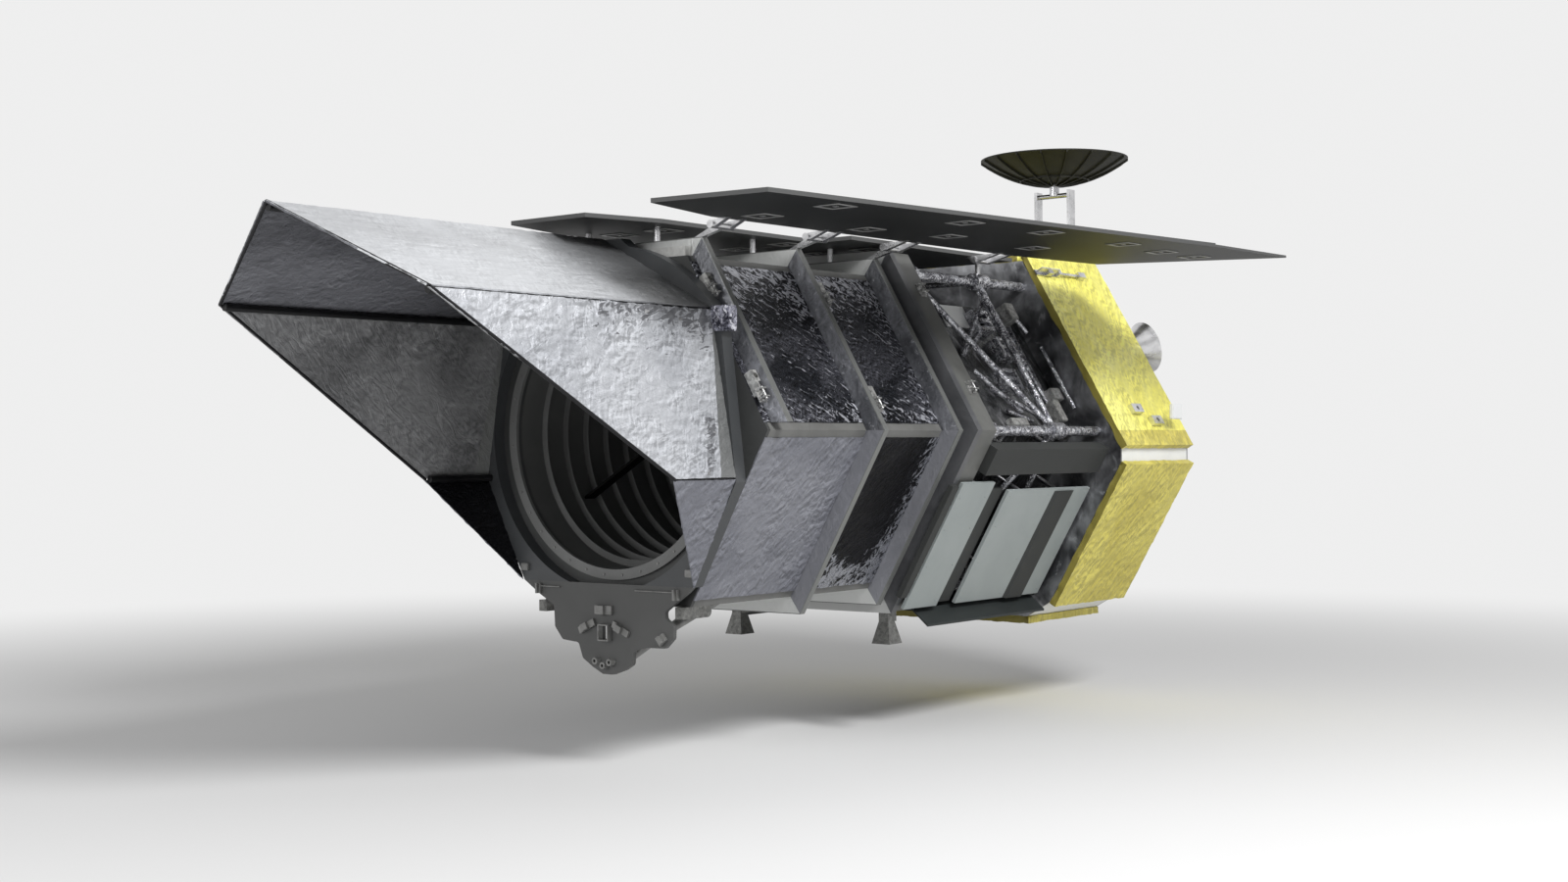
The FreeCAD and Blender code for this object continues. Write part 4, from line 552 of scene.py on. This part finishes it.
# The instrument bay is a dark film-covered box inside an open truss of bright tubes, with
# radiators, a dark box and a dark closeout sheet standing off its lower sides on posts.
charcoal = panel_material("charcoal", (0.038, 0.040, 0.039), (0.047, 0.049, 0.048), 0.6, gloss=0.2)
bay_film = film_material(
    "bay_film", (0.020, 0.021, 0.023), (0.17, 0.175, 0.18), (0.5, 0.5, 0.52), 0.25, 0.8, scale=2.4,
    stretch=3.0, turn=0.9, calm=0.57, crumpled=0.6, relief=0.02, cloud_scale=2.2, painted_streak_share=0.6,
    painted_facet_shade=(0.5, 1.5), on_node=True)
wrapped_silver = film_material(
    "wrapped_silver", (0.10, 0.10, 0.12), (0.55, 0.56, 0.60), (0.90, 0.90, 0.93), 0.25, 0.75, scale=22.0,
    stretch=1.6, turn=0.3, calm=0.54, crumpled=0.5, relief=0.012, cloud_scale=11.0, painted_facet_shade=(0.3, 1.5),
    on_node=True)
radiator_paint = panel_material("radiator_paint", (0.275, 0.305, 0.303), (0.315, 0.345, 0.342), 0.45)
slate = panel_material("slate", (0.020, 0.024, 0.024), (0.028, 0.032, 0.032), 0.5, gloss=0.25)
paint_nodes(bay_film, "instrument_bay")
paint_nodes(wrapped_silver, "truss_tubes", "truss_braces", "truss_fittings")
paint_nodes(silver_metal, "radiator_posts", "closeout_posts")
paint_nodes(radiator_paint, "near_front_radiator", "near_rear_radiator", "far_front_radiator",
            "far_rear_radiator")
paint_nodes(charcoal, "near_bay_box", "far_bay_box")
paint_nodes(slate, "bay_closeout")

# The barrel is a six-sided tube of bare panels between high ribs. Creased metal-coated film
# covers its slanted sides: nearly black above and behind, satin grey below and in front.
RIB_CROWN = 1.792
MIDDLE_RIB = 6.345
REAR_RIB = 5.045
barrel_paint = panel_material(
    "barrel_paint", (0.10, 0.101, 0.096), (0.15, 0.151, 0.146), 0.5,
    zones={"crown_level": NO_CROWN, "level_side": (0.55, 0.56, 0.55), "crown": (1, 1, 1)})
rib_paint = film_material(
    "rib_film", (0.085, 0.088, 0.098), (0.20, 0.205, 0.225), (0.55, 0.56, 0.60), 0.32, 0.35, scale=7.0,
    stretch=1.8, turn=0.4, calm=0.62, crumpled=0.5, relief=0.006, painted_streak_share=0.45, painted_facet_shade=(0.55, 1.5),
    cloud_scale=1.6, on_node=True, bands=[(0.0, (0.25, 0.255, 0.28), True)],
    zones={"crown_level": RIB_CROWN, "level_side": (0.60, 0.61, 0.60), "crown": (0.19, 0.195, 0.19)})
aft_frame_paint = panel_material(
    "aft_frame_paint", (0.075, 0.077, 0.082), (0.13, 0.132, 0.14), 0.3, metallic=0.2,
    zones={"crown_level": NO_CROWN, "level_side": (0.45, 0.455, 0.45), "crown": (1, 1, 1)})
skirt_paint = panel_material(
    "skirt_paint", (0.085, 0.087, 0.082), (0.130, 0.132, 0.126), 0.4,
    zones={"crown_level": NO_CROWN, "level_side": (0.30, 0.305, 0.30), "crown": (1, 1, 1)})
gear_metal = panel_material(
    "gear_metal", (0.18, 0.18, 0.175), (0.68, 0.68, 0.66), 0.35, metallic=0.6, smudge_scale=24.0,
    bands=[(1.62, (0.62, 0.62, 0.60), False), (-1.60, (0.045, 0.046, 0.042), True)])
paint_nodes(barrel_paint, "barrel_skin")
paint_nodes(rib_paint, "barrel_front_frame", "barrel_middle_frame", "barrel_rear_frame")
paint_nodes(aft_frame_paint, "barrel_aft_frame")
paint_nodes(skirt_paint, "barrel_aft_skirt")
paint_nodes(gear_metal, "barrel_fittings")

upper_film = film_material(
    "upper_film", (0.010, 0.011, 0.014), (0.048, 0.049, 0.058), (0.58, 0.59, 0.64), 0.24, 0.6, scale=6.5,
    stretch=2.8, turn=-0.6, calm=0.635, crumpled=0.485, relief=0.02, painted_facet_shade=(0.1, 2.8), cloud_scale=1.6,
    painted_streak_share=0.9, gloss=0.2)
black_film = film_material(
    "black_film", (0.002, 0.002, 0.003), (0.008, 0.008, 0.010), (0.40, 0.41, 0.45), 0.16, 0.8, scale=6.5,
    stretch=2.0, turn=0.95, calm=0.78, crumpled=0.42, relief=0.016, painted_facet_shade=(0.2, 2.4), cloud_scale=1.4,
    painted_streak_share=0.85, gloss=0.05)
satin_film = film_material(
    "satin_film", (0.175, 0.18, 0.208), (0.225, 0.23, 0.26), (0.48, 0.485, 0.52), 0.38, 0.3, scale=5.5,
    stretch=2.0, turn=0.85, calm=0.70, crumpled=0.62, relief=0.018, painted_streak_share=0.6, painted_facet_shade=(0.68, 1.30))


def side_height(point):
    """How far up its slanted side a point lies, from the side's middle."""
    lean = -0.5 if point.z > 0 else 0.5
    return abs(point.y) * lean + point.z * math.cos(SLANT)


SIDE_HALF = 0.80
LOW_EDGE = -0.86


def barrel_crumple(point):
    """The film wrinkles towards its laced edges, by its side and bay."""
    height = side_height(point)
    if point.z > 0:
        aft = near_edge(point.x, REAR_RIB, 0.22) + near_edge(point.x, MIDDLE_RIB, 0.25)
        laced = 0.80 * near_edge(height, SIDE_HALF, 0.45) + 0.45 * near_edge(height, -SIDE_HALF, 0.18)
        return 0.10 + laced + 0.35 * aft
    if point.x < MIDDLE_RIB - 0.05:
        corner = near_edge(point.x, MIDDLE_RIB, 0.55) * near_edge(height, LOW_EDGE, 0.7)
        return near_edge(point.x, REAR_RIB, 0.32) + 0.95 * near_edge(height, LOW_EDGE, 0.36) + corner - 0.15
    return 0.35 + 0.5 * near_edge(point.x, MIDDLE_RIB, 0.25)


def barrel_zone(centre, normal):
    """Which film covers this face: upper, lower black or lower satin."""
    if centre.z > 0:
        return 0
    return 1 if REAR_RIB - 0.1 < centre.x < MIDDLE_RIB else 2


barrel_films = film_piece("barrel_films_creased", "barrel_films", [upper_film, black_film, satin_film],
                          0.035, 0.16, 0.012, barrel_crumple, barrel_zone)

# The telescope's mouth is a dark bulkhead with a raised lip, a black tube with ring vanes, and a polished
# primary mirror inside; the secondary mirror and its spider are painted near black as painted shade. A lobed
# plate with its latches hangs below it.
bulkhead_paint = panel_material("bulkhead_paint", (0.034, 0.035, 0.035), (0.044, 0.046, 0.045), 0.5)
collar_paint = panel_material("collar_paint", (0.040, 0.043, 0.046), (0.052, 0.055, 0.058), 0.42)
lip_paint = panel_material("lip_paint", (0.12, 0.122, 0.12), (0.15, 0.152, 0.15), 0.45)
plate_paint = panel_material("plate_paint", (0.060, 0.061, 0.060), (0.070, 0.071, 0.070), 0.55)
latch_metal = panel_material("latch_metal", (0.15, 0.15, 0.145), (0.24, 0.24, 0.235), 0.4, metallic=0.3,
                             smudge_scale=12.0)
black_baffle = panel_material("black_baffle", (0.085, 0.087, 0.085), (0.10, 0.102, 0.10), 0.7, gloss=0.2)
vane_black = panel_material("vane_black", (0.11, 0.112, 0.11), (0.14, 0.142, 0.14), 0.6, gloss=0.2)
# Painted shade: near black, darker than the tube's black paint, so the secondary mirror and its spider read
# as the tube's shade.
spider_shade_black = panel_material("spider_shade_black", (0.003, 0.003, 0.003), (0.005, 0.005, 0.005), 0.8, gloss=0.05)
mirror_coat = panel_material("mirror_coat", (0.83, 0.84, 0.85), (0.88, 0.89, 0.90), 0.08, metallic=1.0,
                             relief=0.0001)
paint_nodes(bulkhead_paint, "front_bulkhead")
paint_nodes(collar_paint, "cover_base_frame")
paint_nodes(lip_paint, "aperture_lip")
paint_nodes(plate_paint, "front_lobe_plate")
paint_nodes(latch_metal, "lobe_fittings")
paint_nodes(black_baffle, "baffle_tube")
paint_nodes(spider_shade_black, "secondary_mirror")
paint_nodes(vane_black, "baffle_vanes")
paint_nodes(mirror_coat, "primary_mirror")

# The aperture cover is made of flat sheets of silver film, dark inside, stretched between
# round booms that stand out from the bulkhead.
COVER_BASE = 7.99
RIDGE = Vector((0, 0, 1.841))
FOLD = Vector((0, 1.345, 1.115))
LOW = Vector((0, 1.622, -0.441))
SKIRT = Vector((0, 1.119, -1.434))
# The side sheets' dark crease streaks are painted crease shade.
cover_silver = film_material(
    "cover_silver", (0.40, 0.412, 0.44), (0.48, 0.492, 0.52), (0.045, 0.045, 0.05), 0.42, 0.30, scale=4.5,
    stretch=2.6, turn=0.25, calm=0.80, crumpled=0.475, relief=0.02, painted_streak_share=0.8, painted_facet_shade=(0.66, 1.30),
    collar=(0.17, 0.175, 0.175))
# The upper sheet's silver darkens towards the frame: a painted reflection and painted shade, laid as its
# collar tone.
ridge_silver = film_material(
    "ridge_silver", (0.52, 0.53, 0.55), (0.66, 0.675, 0.70), (0.92, 0.93, 0.95), 0.36, 0.45, scale=4.0,
    stretch=4.0, turn=0.06, calm=0.66, crumpled=0.6, relief=0.012, painted_streak_share=0.5, painted_facet_shade=(0.82, 1.12),
    collar=(0.13, 0.132, 0.136), collar_soft=0.8)
# The upper sheet's inner face darkens towards the frame as painted shade, laid as its collar tone.
inner_dark = film_material(
    "cover_inner_dark", (0.10, 0.102, 0.115), (0.20, 0.203, 0.225), (0.40, 0.40, 0.43), 0.34, 0.3,
    scale=6.0, stretch=2.4, turn=0.2, calm=0.66, crumpled=0.6, relief=0.02, painted_streak_share=0.4,
    painted_facet_shade=(0.6, 1.4), collar=(0.03, 0.03, 0.035), collar_soft=1.3)
inner_black = film_material(
    "cover_inner_black", (0.006, 0.006, 0.008), (0.012, 0.012, 0.015), (0.08, 0.08, 0.09), 0.34, 0.3,
    scale=7.0, stretch=2.4, turn=0.2, calm=0.66, crumpled=0.6, relief=0.02, painted_streak_share=0.4,
    painted_facet_shade=(0.4, 1.8))
inner_grey = film_material(
    "cover_inner_grey", (0.21, 0.211, 0.216), (0.32, 0.321, 0.328), (0.60, 0.60, 0.61), 0.42, 0.3,
    scale=3.6, stretch=2.4, turn=-0.9, calm=0.68, crumpled=0.6, relief=0.014, painted_streak_share=0.4,
    painted_facet_shade=(0.78, 1.25), collar=(0.26, 0.265, 0.26))
SHEETS = {
    "upper_sheet": (RIDGE, FOLD, ridge_silver, inner_dark, 3.855, 3.348),
    "side_sheet": (FOLD, LOW, cover_silver, inner_grey, 3.348, 0.831),
    "skirt": (LOW, SKIRT, satin_film, inner_black, 0.831, 0.0),
}
SIDES = {"near": 1, "far": -1}
COLLAR_WIDTH = 0.20
BAND_WIDTH = 0.22
PAINTED_SHADE_REACH = 0.85


def faces_in(centre, normal):
    """1 where a face of the cover looks towards the line of sight."""
    return 0 if normal.y * centre.y + normal.z * centre.z > 0 else 1


def down_share(point, start, end):
    """How far a point lies from a sheet's upper line to its lower one, as a share."""
    line = end - start
    across = Vector((0, abs(point.y), point.z)) - start
    return across.dot(line) / line.length_squared


def cover_crumple(point, start, end):
    """The side sheets crease below the fold and beside the plain collar."""
    share = down_share(point, start, end)
    out = point.x - COVER_BASE
    if start is not FOLD:
        return 0.5 * math.exp(-out / 1.2)
    fold_creases = near_edge(share, 0, 0.26) * (1 - min(1.0, max(0.0, (out - 1.0) / 2.0)))
    band = near_edge(out, COLLAR_WIDTH * share + BAND_WIDTH / 2, BAND_WIDTH / 2)
    side_creases = 0.55 * near_edge(out, 0.45, 0.25) * share
    return 0.12 + 0.95 * max(fold_creases, band, side_creases)


for part, (start, end, outer, inner, start_length, end_length) in SHEETS.items():
    def sheet_crumple(point, start=start, end=end):
        return cover_crumple(point, start, end)

    # On the upper sheet the collar value sets where the painted shade fades out from the frame.
    def sheet_collar(point, start=start, end=end):
        out = point.x - COVER_BASE
        return COLLAR_WIDTH * down_share(point, start, end) - out if start is FOLD else PAINTED_SHADE_REACH - out

    for label in SIDES:
        name = "cover_" + label + "_" + part
        sheet = film_piece(name + "_film", name, [outer, inner], 0.024, 0.10, 0.016, sheet_crumple, faces_in,
                           sheet_collar if start is not LOW else None)
boom_black = panel_material("boom_black", (0.006, 0.006, 0.007), (0.012, 0.012, 0.013), 0.35, gloss=0.25)
paint_nodes(boom_black, "cover_booms")

# The sun shield is a row of stiff dark panels over the barrel, with two folding wings on
# hinges whose lugs and leaves are bright machined metal. Solar cells cover its upper face.
SHIELD_LEVEL = 1.943
PANEL_TOP = SHIELD_LEVEL + 0.039
FLAP_TOP = SHIELD_LEVEL + 0.025
CELL_LENGTH = 0.16
EDGE_TONE = (0.085, 0.086, 0.086)


def shield_material(name, top_level, cells):
    """A dark stiff panel whose upper face carries cells, or a yellow skin."""
    material, tree = new_material(name)
    place = add_node(tree, "ShaderNodeTexCoord").outputs["Object"]
    wear = placed_group(tree, panel_wear, {"Place": place, "Smudge Scale": 1.2, "Grain Scale": 70.0})
    tones = two_tones(tree, wear["Smudge"], (0.011, 0.012, 0.012), (0.017, 0.018, 0.018))
    if cells:
        skin = add_node(tree, "ShaderNodeTexBrick", {
            "Vector": place, "Color1": (0.012, 0.016, 0.045, 1), "Color2": (0.018, 0.022, 0.060, 1),
            "Mortar": (0.12, 0.12, 0.13, 1), "Scale": 1.0, "Mortar Size": 0.004,
            "Brick Width": CELL_LENGTH, "Row Height": CELL_LENGTH / 2}, offset=0.0)
    else:
        skin = two_tones(tree, wear["Smudge"], (0.60, 0.52, 0.11), (0.78, 0.69, 0.18))
    faces = add_node(tree, "ShaderNodeMix", {"Factor": above_level(tree, place, top_level), "A": tones,
                                             "B": skin}, data_type="RGBA")
    way = add_node(tree, "ShaderNodeTexCoord").outputs["Normal"]
    upright = add_node(tree, "ShaderNodeSeparateXYZ", {"Vector": way}).outputs["Z"]
    on_edge = calc(tree, "LESS_THAN", calc(tree, "ABSOLUTE", upright), 0.5)
    colour = over(tree, on_edge, faces.outputs["Result"], EDGE_TONE)
    finish_material(tree, colour, 0.5, wear["Grain"], 0.4, 0.001, gloss=0.2)
    return material


shield_skin = shield_material("shield_skin", PANEL_TOP, cells=True)
flap_skin = shield_material("flap_skin", FLAP_TOP, cells=False)
paint_nodes(shield_skin, "shield_front_panel", "shield_rear_panel", "near_wing_panel", "far_wing_panel")
paint_nodes(flap_skin, "near_wing_flap", "far_wing_flap")
paint_nodes(silver_metal, "near_hinge_lugs", "far_hinge_lugs", "near_wing_leaves", "far_wing_leaves",
            "shield_posts")


def coated(tree, shape, coat):
    """The end of a tree: its copies made real, in one material."""
    solid = add_node(tree, "GeometryNodeRealizeInstances", {"Geometry": shape})
    skin = add_node(tree, "GeometryNodeSetMaterial", {"Geometry": solid, "Material": coat})
    add_node(tree, "NodeGroupOutput", {"Geometry": skin})


square_frames, given = new_shaper("square_frames", {"Side": 0.26, "Rim": 0.04, "Height": 0.006}, ["Metal"])
tree = square_frames
outline = add_node(tree, "GeometryNodeCurvePrimitiveQuadrilateral", {"Width": given["Side"],
                                                                     "Height": given["Side"]})
section = add_node(tree, "GeometryNodeCurvePrimitiveQuadrilateral", {"Width": given["Rim"],
                                                                     "Height": given["Height"]})
rim = add_node(tree, "GeometryNodeCurveToMesh", {"Curve": outline, "Profile Curve": section})
boss_size = add_node(tree, "ShaderNodeCombineXYZ", {"X": given["Rim"], "Y": given["Rim"],
                                                    "Z": given["Height"]})
boss = add_node(tree, "GeometryNodeMeshCube", {"Size": boss_size})
both = add_node(tree, "GeometryNodeJoinGeometry", {"Geometry": rim})
tree.links.new(boss.outputs["Mesh"], both.inputs["Geometry"])
laid = add_node(tree, "GeometryNodeInstanceOnPoints", {"Points": given["Geometry"], "Instance": both})
coated(tree, laid, given["Metal"])


def outward(piece):
    """Turn a piece's faces outwards."""
    build = bmesh.new()
    build.from_mesh(piece.data)
    bmesh.ops.remove_doubles(build, verts=build.verts, dist=0.00005)
    bmesh.ops.recalc_face_normals(build, faces=build.faces)
    build.to_mesh(piece.data)
    build.free()


def points_mesh(name, points):
    """A mesh of loose points."""
    mesh = bpy.data.meshes.new(name)
    mesh.from_pydata([tuple(point) for point in points], [], [])
    return mesh


PLATE_HEIGHT = 0.008
WING_PLATES = [(7.80, 2.62), (7.70, 1.72), (6.00, 2.80), (6.20, 1.80), (5.15, 2.05), (4.77, 2.95),
               (3.60, 2.10), (3.27, 3.00), (2.28, 2.93), (1.52, 2.95)]
SHIELD_PLATES = [(7.44, -0.29), (7.44, 0.29), (5.66, -0.26), (5.69, 0.41), (4.69, 0.05), (4.66, 0.70),
                 (4.66, -0.70)]
plate_places = {
    "near_wing": WING_PLATES,
    "far_wing": [(x, -y) for x, y in WING_PLATES],
    "root": SHIELD_PLATES,
}
rim_metal = panel_material(
    "rim_metal", (0.24, 0.24, 0.235), (0.32, 0.32, 0.315), 0.4, metallic=0.2, smudge_scale=8.0)
for body, places in plate_places.items():
    spots = [(x, y, SHIELD_LEVEL - PLATE_HEIGHT / 2 + 0.0005) for x, y in places]
    plates = grown(body + "_square_frames", points_mesh(body + "_square_frames", spots), square_frames,
                   {"Side": 0.25, "Rim": 0.042, "Height": PLATE_HEIGHT, "Metal": rim_metal})
    outward(plates)
    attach(plates, body)


# Small hardware stands on the frames and in the truss: wrapped rods between the hubs and
# the bay, clamps and boxes of bright metal, and the bolts of the flanges and panels.
wrapped_rods, given = new_shaper("wrapped_rods", {"Radius": 0.02, "Wrinkle": 0.004}, ["Wrap"])
tree = wrapped_rods
line = add_node(tree, "GeometryNodeMeshToCurve", {"Mesh": given["Geometry"]})
finer = add_node(tree, "GeometryNodeResampleCurve", {"Curve": line, "Count": 24})
section = add_node(tree, "GeometryNodeCurvePrimitiveCircle", {"Resolution": 12, "Radius": given["Radius"]})
rod = add_node(tree, "GeometryNodeCurveToMesh", {"Curve": finer, "Profile Curve": section,
                                                 "Fill Caps": True})
ripple = add_node(tree, "ShaderNodeTexNoise", {"Scale": 18.0, "Detail": 2.0})
push = calc(tree, "MULTIPLY", ripple, given["Wrinkle"])
coated(tree, pushed(tree, rod, push), given["Wrap"])


def on_side(station, reach, height, side=1, lower=False):
    """A point over a slanted side of the body, from its reach and its height there."""
    lean = -SLANT if lower else SLANT
    across = reach * math.cos(lean) - height * math.sin(lean)
    level = reach * math.sin(lean) + height * math.cos(lean)
    return Vector((station, side * across, level))


def rods(name, lines, radius, wrinkle, material):
    """Rods along straight lines between pairs of points."""
    points = [point for line in lines for point in line]
    mesh = bpy.data.meshes.new(name)
    mesh.from_pydata([tuple(point) for point in points], [(2 * k, 2 * k + 1) for k in range(len(lines))], [])
    piece = grown(name, mesh, wrapped_rods, {"Radius": radius, "Wrinkle": wrinkle, "Wrap": material})
    outward(piece)
    piece.data.shade_smooth()
    piece.data.set_sharp_from_angle(angle=math.radians(50))
    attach(piece, "root")
    return piece


def boxes(name, corner_sets, bevel, material):
    """Bevelled blocks, each from its eight corners, lower four first."""
    build = bmesh.new()
    for corners in corner_sets:
        verts = [build.verts.new(corner) for corner in corners]
        for face in ((3, 2, 1, 0), (4, 5, 6, 7), (0, 1, 5, 4), (1, 2, 6, 5), (2, 3, 7, 6), (3, 0, 4, 7)):
            build.faces.new([verts[k] for k in face])
    bmesh.ops.recalc_face_normals(build, faces=build.faces)
    bmesh.ops.bevel(build, geom=build.edges[:], offset=bevel, segments=2, affect="EDGES")
    mesh = bpy.data.meshes.new(name)
    build.to_mesh(mesh)
    build.free()
    mesh.materials.append(material)
    piece = bpy.data.objects.new(name, mesh)
    bpy.context.scene.collection.objects.link(piece)
    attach(piece, "root")
    return piece


def side_box(start, end, floor, face, low, high, side=1, lower=False):
    """The eight corners of a block on a slanted side."""
    rings = [[on_side(x, reach, height, side, lower) for x, height in ((start, low), (end, low), (end, high),
                                                                       (start, high))]
             for reach in (floor, face)]
    return rings[0] + rings[1]


def plain_box(stations, reaches, levels, side=1):
    """The eight corners of a level block, on the near side or the far one."""
    start, end = stations
    low, high = sorted(side * reach for reach in reaches)
    return [Vector((x, y, z)) for z in levels
            for x, y in ((start, low), (end, low), (end, high), (start, high))]


TRUSS_RODS = [((2.28, 1.56, 0.70), (2.14, 1.56, 0.42)), ((2.06, 1.60, 0.20), (2.03, 1.60, -0.62)),
              ((3.32, 1.50, 0.27), (2.72, 1.50, 0.585)), ((3.48, 1.52, -0.345), (2.77, 1.52, -0.674)),
              ((3.27, 1.46, -0.58), (2.84, 1.46, -0.71)), ((2.80, 1.60, 0.83), (3.57, 1.46, 0.13)),
              ((2.92, 1.64, 0.88), (2.72, 1.60, -0.674)), ((3.60, 1.50, -0.10), (3.05, 1.50, -0.62)),
              ((2.45, 1.47, 0.75), (2.30, 1.47, -0.75))]
TRUSS_BOXES = [(2.21, 2.37, 1.42, 1.60, 0.58, 0.80), (2.06, 2.26, 1.42, 1.56, -0.47, -0.32),
               (2.30, 2.42, 1.42, 1.60, -0.78, -0.50), (3.00, 3.34, 1.42, 1.50, -0.79, -0.69),
               (2.24, 2.41, 1.42, 1.53, -0.94, -0.82)]
WHITE_PANELS = [(3.05, 3.55, 1.42, 1.445, 0.52, 0.80)]
corner_wrap = film_material(
    "corner_wrap", (0.05, 0.05, 0.07), (0.40, 0.40, 0.48), (0.85, 0.85, 0.92), 0.25, 0.7, scale=16.0,
    stretch=1.3, turn=0.6, calm=0.56, crumpled=0.5, relief=0.01, cloud_scale=14.0, painted_facet_shade=(0.3, 1.6),
    on_node=True)
for label, side in SIDES.items():
    rods(label + "_truss_rods", [[on_side(*end, side) for end in line] for line in TRUSS_RODS], 0.022, 0.008,
         wrapped_silver)
    boxes(label + "_truss_clamps", [side_box(*sizes, side=side) for sizes in TRUSS_BOXES], 0.008, gear_metal)
    boxes(label + "_bay_panel", [side_box(*sizes, side=side) for sizes in WHITE_PANELS], 0.004, white_panel)
    boxes(label + "_radiator_bar", [side_box(4.80, 4.925, 1.898, 1.960, -0.867, 0.47, side, lower=True)],
          0.005, charcoal)
    boxes(label + "_corner_plate", [plain_box((7.87, 8.01), (1.34, 1.56), (0.90, 1.13), side)], 0.012,
          corner_wrap)
    boxes(label + "_longeron_cross", [plain_box((4.80, 4.84), (1.86, 1.93), (-0.10, 0.10), side),
                                      plain_box((4.72, 4.92), (1.86, 1.925), (-0.02, 0.02), side)], 0.004,
          white_panel)
    boxes(label + "_frame_clips", [plain_box((7.985, 8.02), (1.02, 1.12), (-1.34, -1.27), side)], 0.006,
          latch_metal)
CLAMP_PLACES = [(7.775, 7.875, 1.69, 0.50), (7.775, 7.875, 1.69, -0.62), (6.150, 6.250, 1.76, 0.47),
                (6.150, 6.250, 1.76, -0.74), (4.520, 4.620, 1.878, 0.62), (4.520, 4.620, 1.878, -0.58)]
CLAMP_HALF = 0.075
LUG_THICK = 0.012


def clamp_boxes(start, end, floor, height, side):
    """The base, two lugs, tongue and end blocks of one clamp on a slanted side."""
    base_top = floor + LUG_THICK
    lugs = [side_box(start + LUG_THICK, end - LUG_THICK, base_top, base_top + 0.065, height + place,
                     height + place + LUG_THICK, side) for place in (-0.048, 0.036)]
    ends = [side_box(start + 0.02, end - 0.02, base_top, base_top + 0.022, height + place,
                     height + place + 0.02, side) for place in (-0.072, 0.052)]
    tongue = side_box(start + 0.035, end - 0.035, base_top, base_top + 0.05, height - LUG_THICK,
                      height + LUG_THICK, side)
    base = side_box(start, end, floor, base_top, height - CLAMP_HALF, height + CLAMP_HALF, side)
    return [base, tongue] + lugs + ends


clamp_metal = panel_material("clamp_metal", (0.13, 0.13, 0.13), (0.72, 0.72, 0.71), 0.3, metallic=0.7,
                             smudge_scale=32.0)
for label, side in SIDES.items():
    clamps = [block for place in CLAMP_PLACES for block in clamp_boxes(*place, side)]
    boxes(label + "_rib_clamps", clamps, 0.002, clamp_metal)
    pins = [[on_side((start + end) / 2, floor + 0.055, height + place, side) for place in (-0.065, 0.062)]
            for start, end, floor, height in CLAMP_PLACES]
    rods(label + "_clamp_pins", pins, 0.013, 0.0, clamp_metal)

RIDGE_TIP = Vector((11.825, 0, 1.826))
FOLD_TIP = Vector((11.318, 1.340, 1.108))
LOW_TIP = Vector((8.801, 1.615, -0.436))
for label, side in SIDES.items():
    ridge, fold, low = (tip * Vector((1, side, 1)) for tip in (RIDGE_TIP, FOLD_TIP, LOW_TIP))
    binding = rods(label + "_edge_binding", [[ridge, fold], [fold, low]], 0.013, 0.006, boom_black)
boxes("side_bracket", [plain_box((0.67, 0.92), (2.32, 2.37), (0.14, 0.32))], 0.01, white_panel)

bolt_heads, given = new_shaper("bolt_heads", {"Radius": 0.01, "Height": 0.008}, ["Metal"])
tree = bolt_heads
turn = add_node(tree, "FunctionNodeAlignRotationToVector",
                {"Vector": mesh_value(tree, "facing", "FLOAT_VECTOR")}, axis="Z")
head = add_node(tree, "GeometryNodeMeshCylinder", {"Vertices": 6, "Radius": given["Radius"],
                                                   "Depth": given["Height"]}, fill_type="NGON")
laid = add_node(tree, "GeometryNodeInstanceOnPoints", {"Points": given["Geometry"], "Instance": head,
                                                       "Rotation": turn})
coated(tree, laid, given["Metal"])


def bolts(name, spots, facing, radius, height, material):
    """Bolt heads standing on a face at these spots."""
    mesh = points_mesh(name, [Vector(spot) + Vector(facing) * (height / 2) for spot in spots])
    ways = mesh.attributes.new("facing", "FLOAT_VECTOR", "POINT")
    for number in range(len(spots)):
        ways.data[number].vector = facing
    piece = grown(name, mesh, bolt_heads, {"Radius": radius, "Height": height, "Metal": material})
    outward(piece)
    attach(piece, "root")
    return piece


def ring_spots(count, radius, station):
    """Spots round the line of sight."""
    turns = [2 * math.pi * (k + 0.5) / count for k in range(count)]
    return [(station, radius * math.cos(turn), radius * math.sin(turn)) for turn in turns]


bolts("lip_bolts", ring_spots(36, 1.36, 7.884), (1, 0, 0), 0.012, 0.008, latch_metal)
bolts("ring_flange_bolts", ring_spots(24, 1.154, 0.32), (-1, 0, 0), 0.016, 0.012, silver_metal)
PEDESTAL_CENTRE = (0.49, 0.567, 2.098)
FOOT_RADIUS = 0.18
foot_turns = [2 * math.pi * k / 6 for k in range(6)]
foot_spots = [(PEDESTAL_CENTRE[0] + FOOT_RADIUS * math.cos(turn),
               PEDESTAL_CENTRE[1] + FOOT_RADIUS * math.sin(turn), PEDESTAL_CENTRE[2]) for turn in foot_turns]
bolts("pedestal_bolts", foot_spots, (0, 0, 1), 0.012, 0.01, silver_metal)
BOLT_FACE = 1.953
PANEL_BOLTS = [(x, height) for x in (2.10, 2.90, 3.70, 4.20, 4.68) for height in (-0.95, -0.50, -0.05, 0.33)]
for label, side in SIDES.items():
    out = on_side(0, 1, 0, side, lower=True)
    spots = [on_side(x, BOLT_FACE, height, side, lower=True) for x, height in PANEL_BOLTS]
    bolts(label + "_radiator_bolts", spots, tuple(out), 0.009, 0.004, radiator_paint)

# The antenna is a thin dark dish with a short feed, on a two-axis mount of bright metal.
dish_skin = panel_material("dish_skin", (0.016, 0.016, 0.013), (0.026, 0.026, 0.021), 0.5, gloss=0.2)
paint_nodes(dish_skin, "antenna_dish", "antenna_feed")
paint_nodes(silver_metal, "antenna_pedestal", "antenna_yoke", "antenna_axle")

low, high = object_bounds()
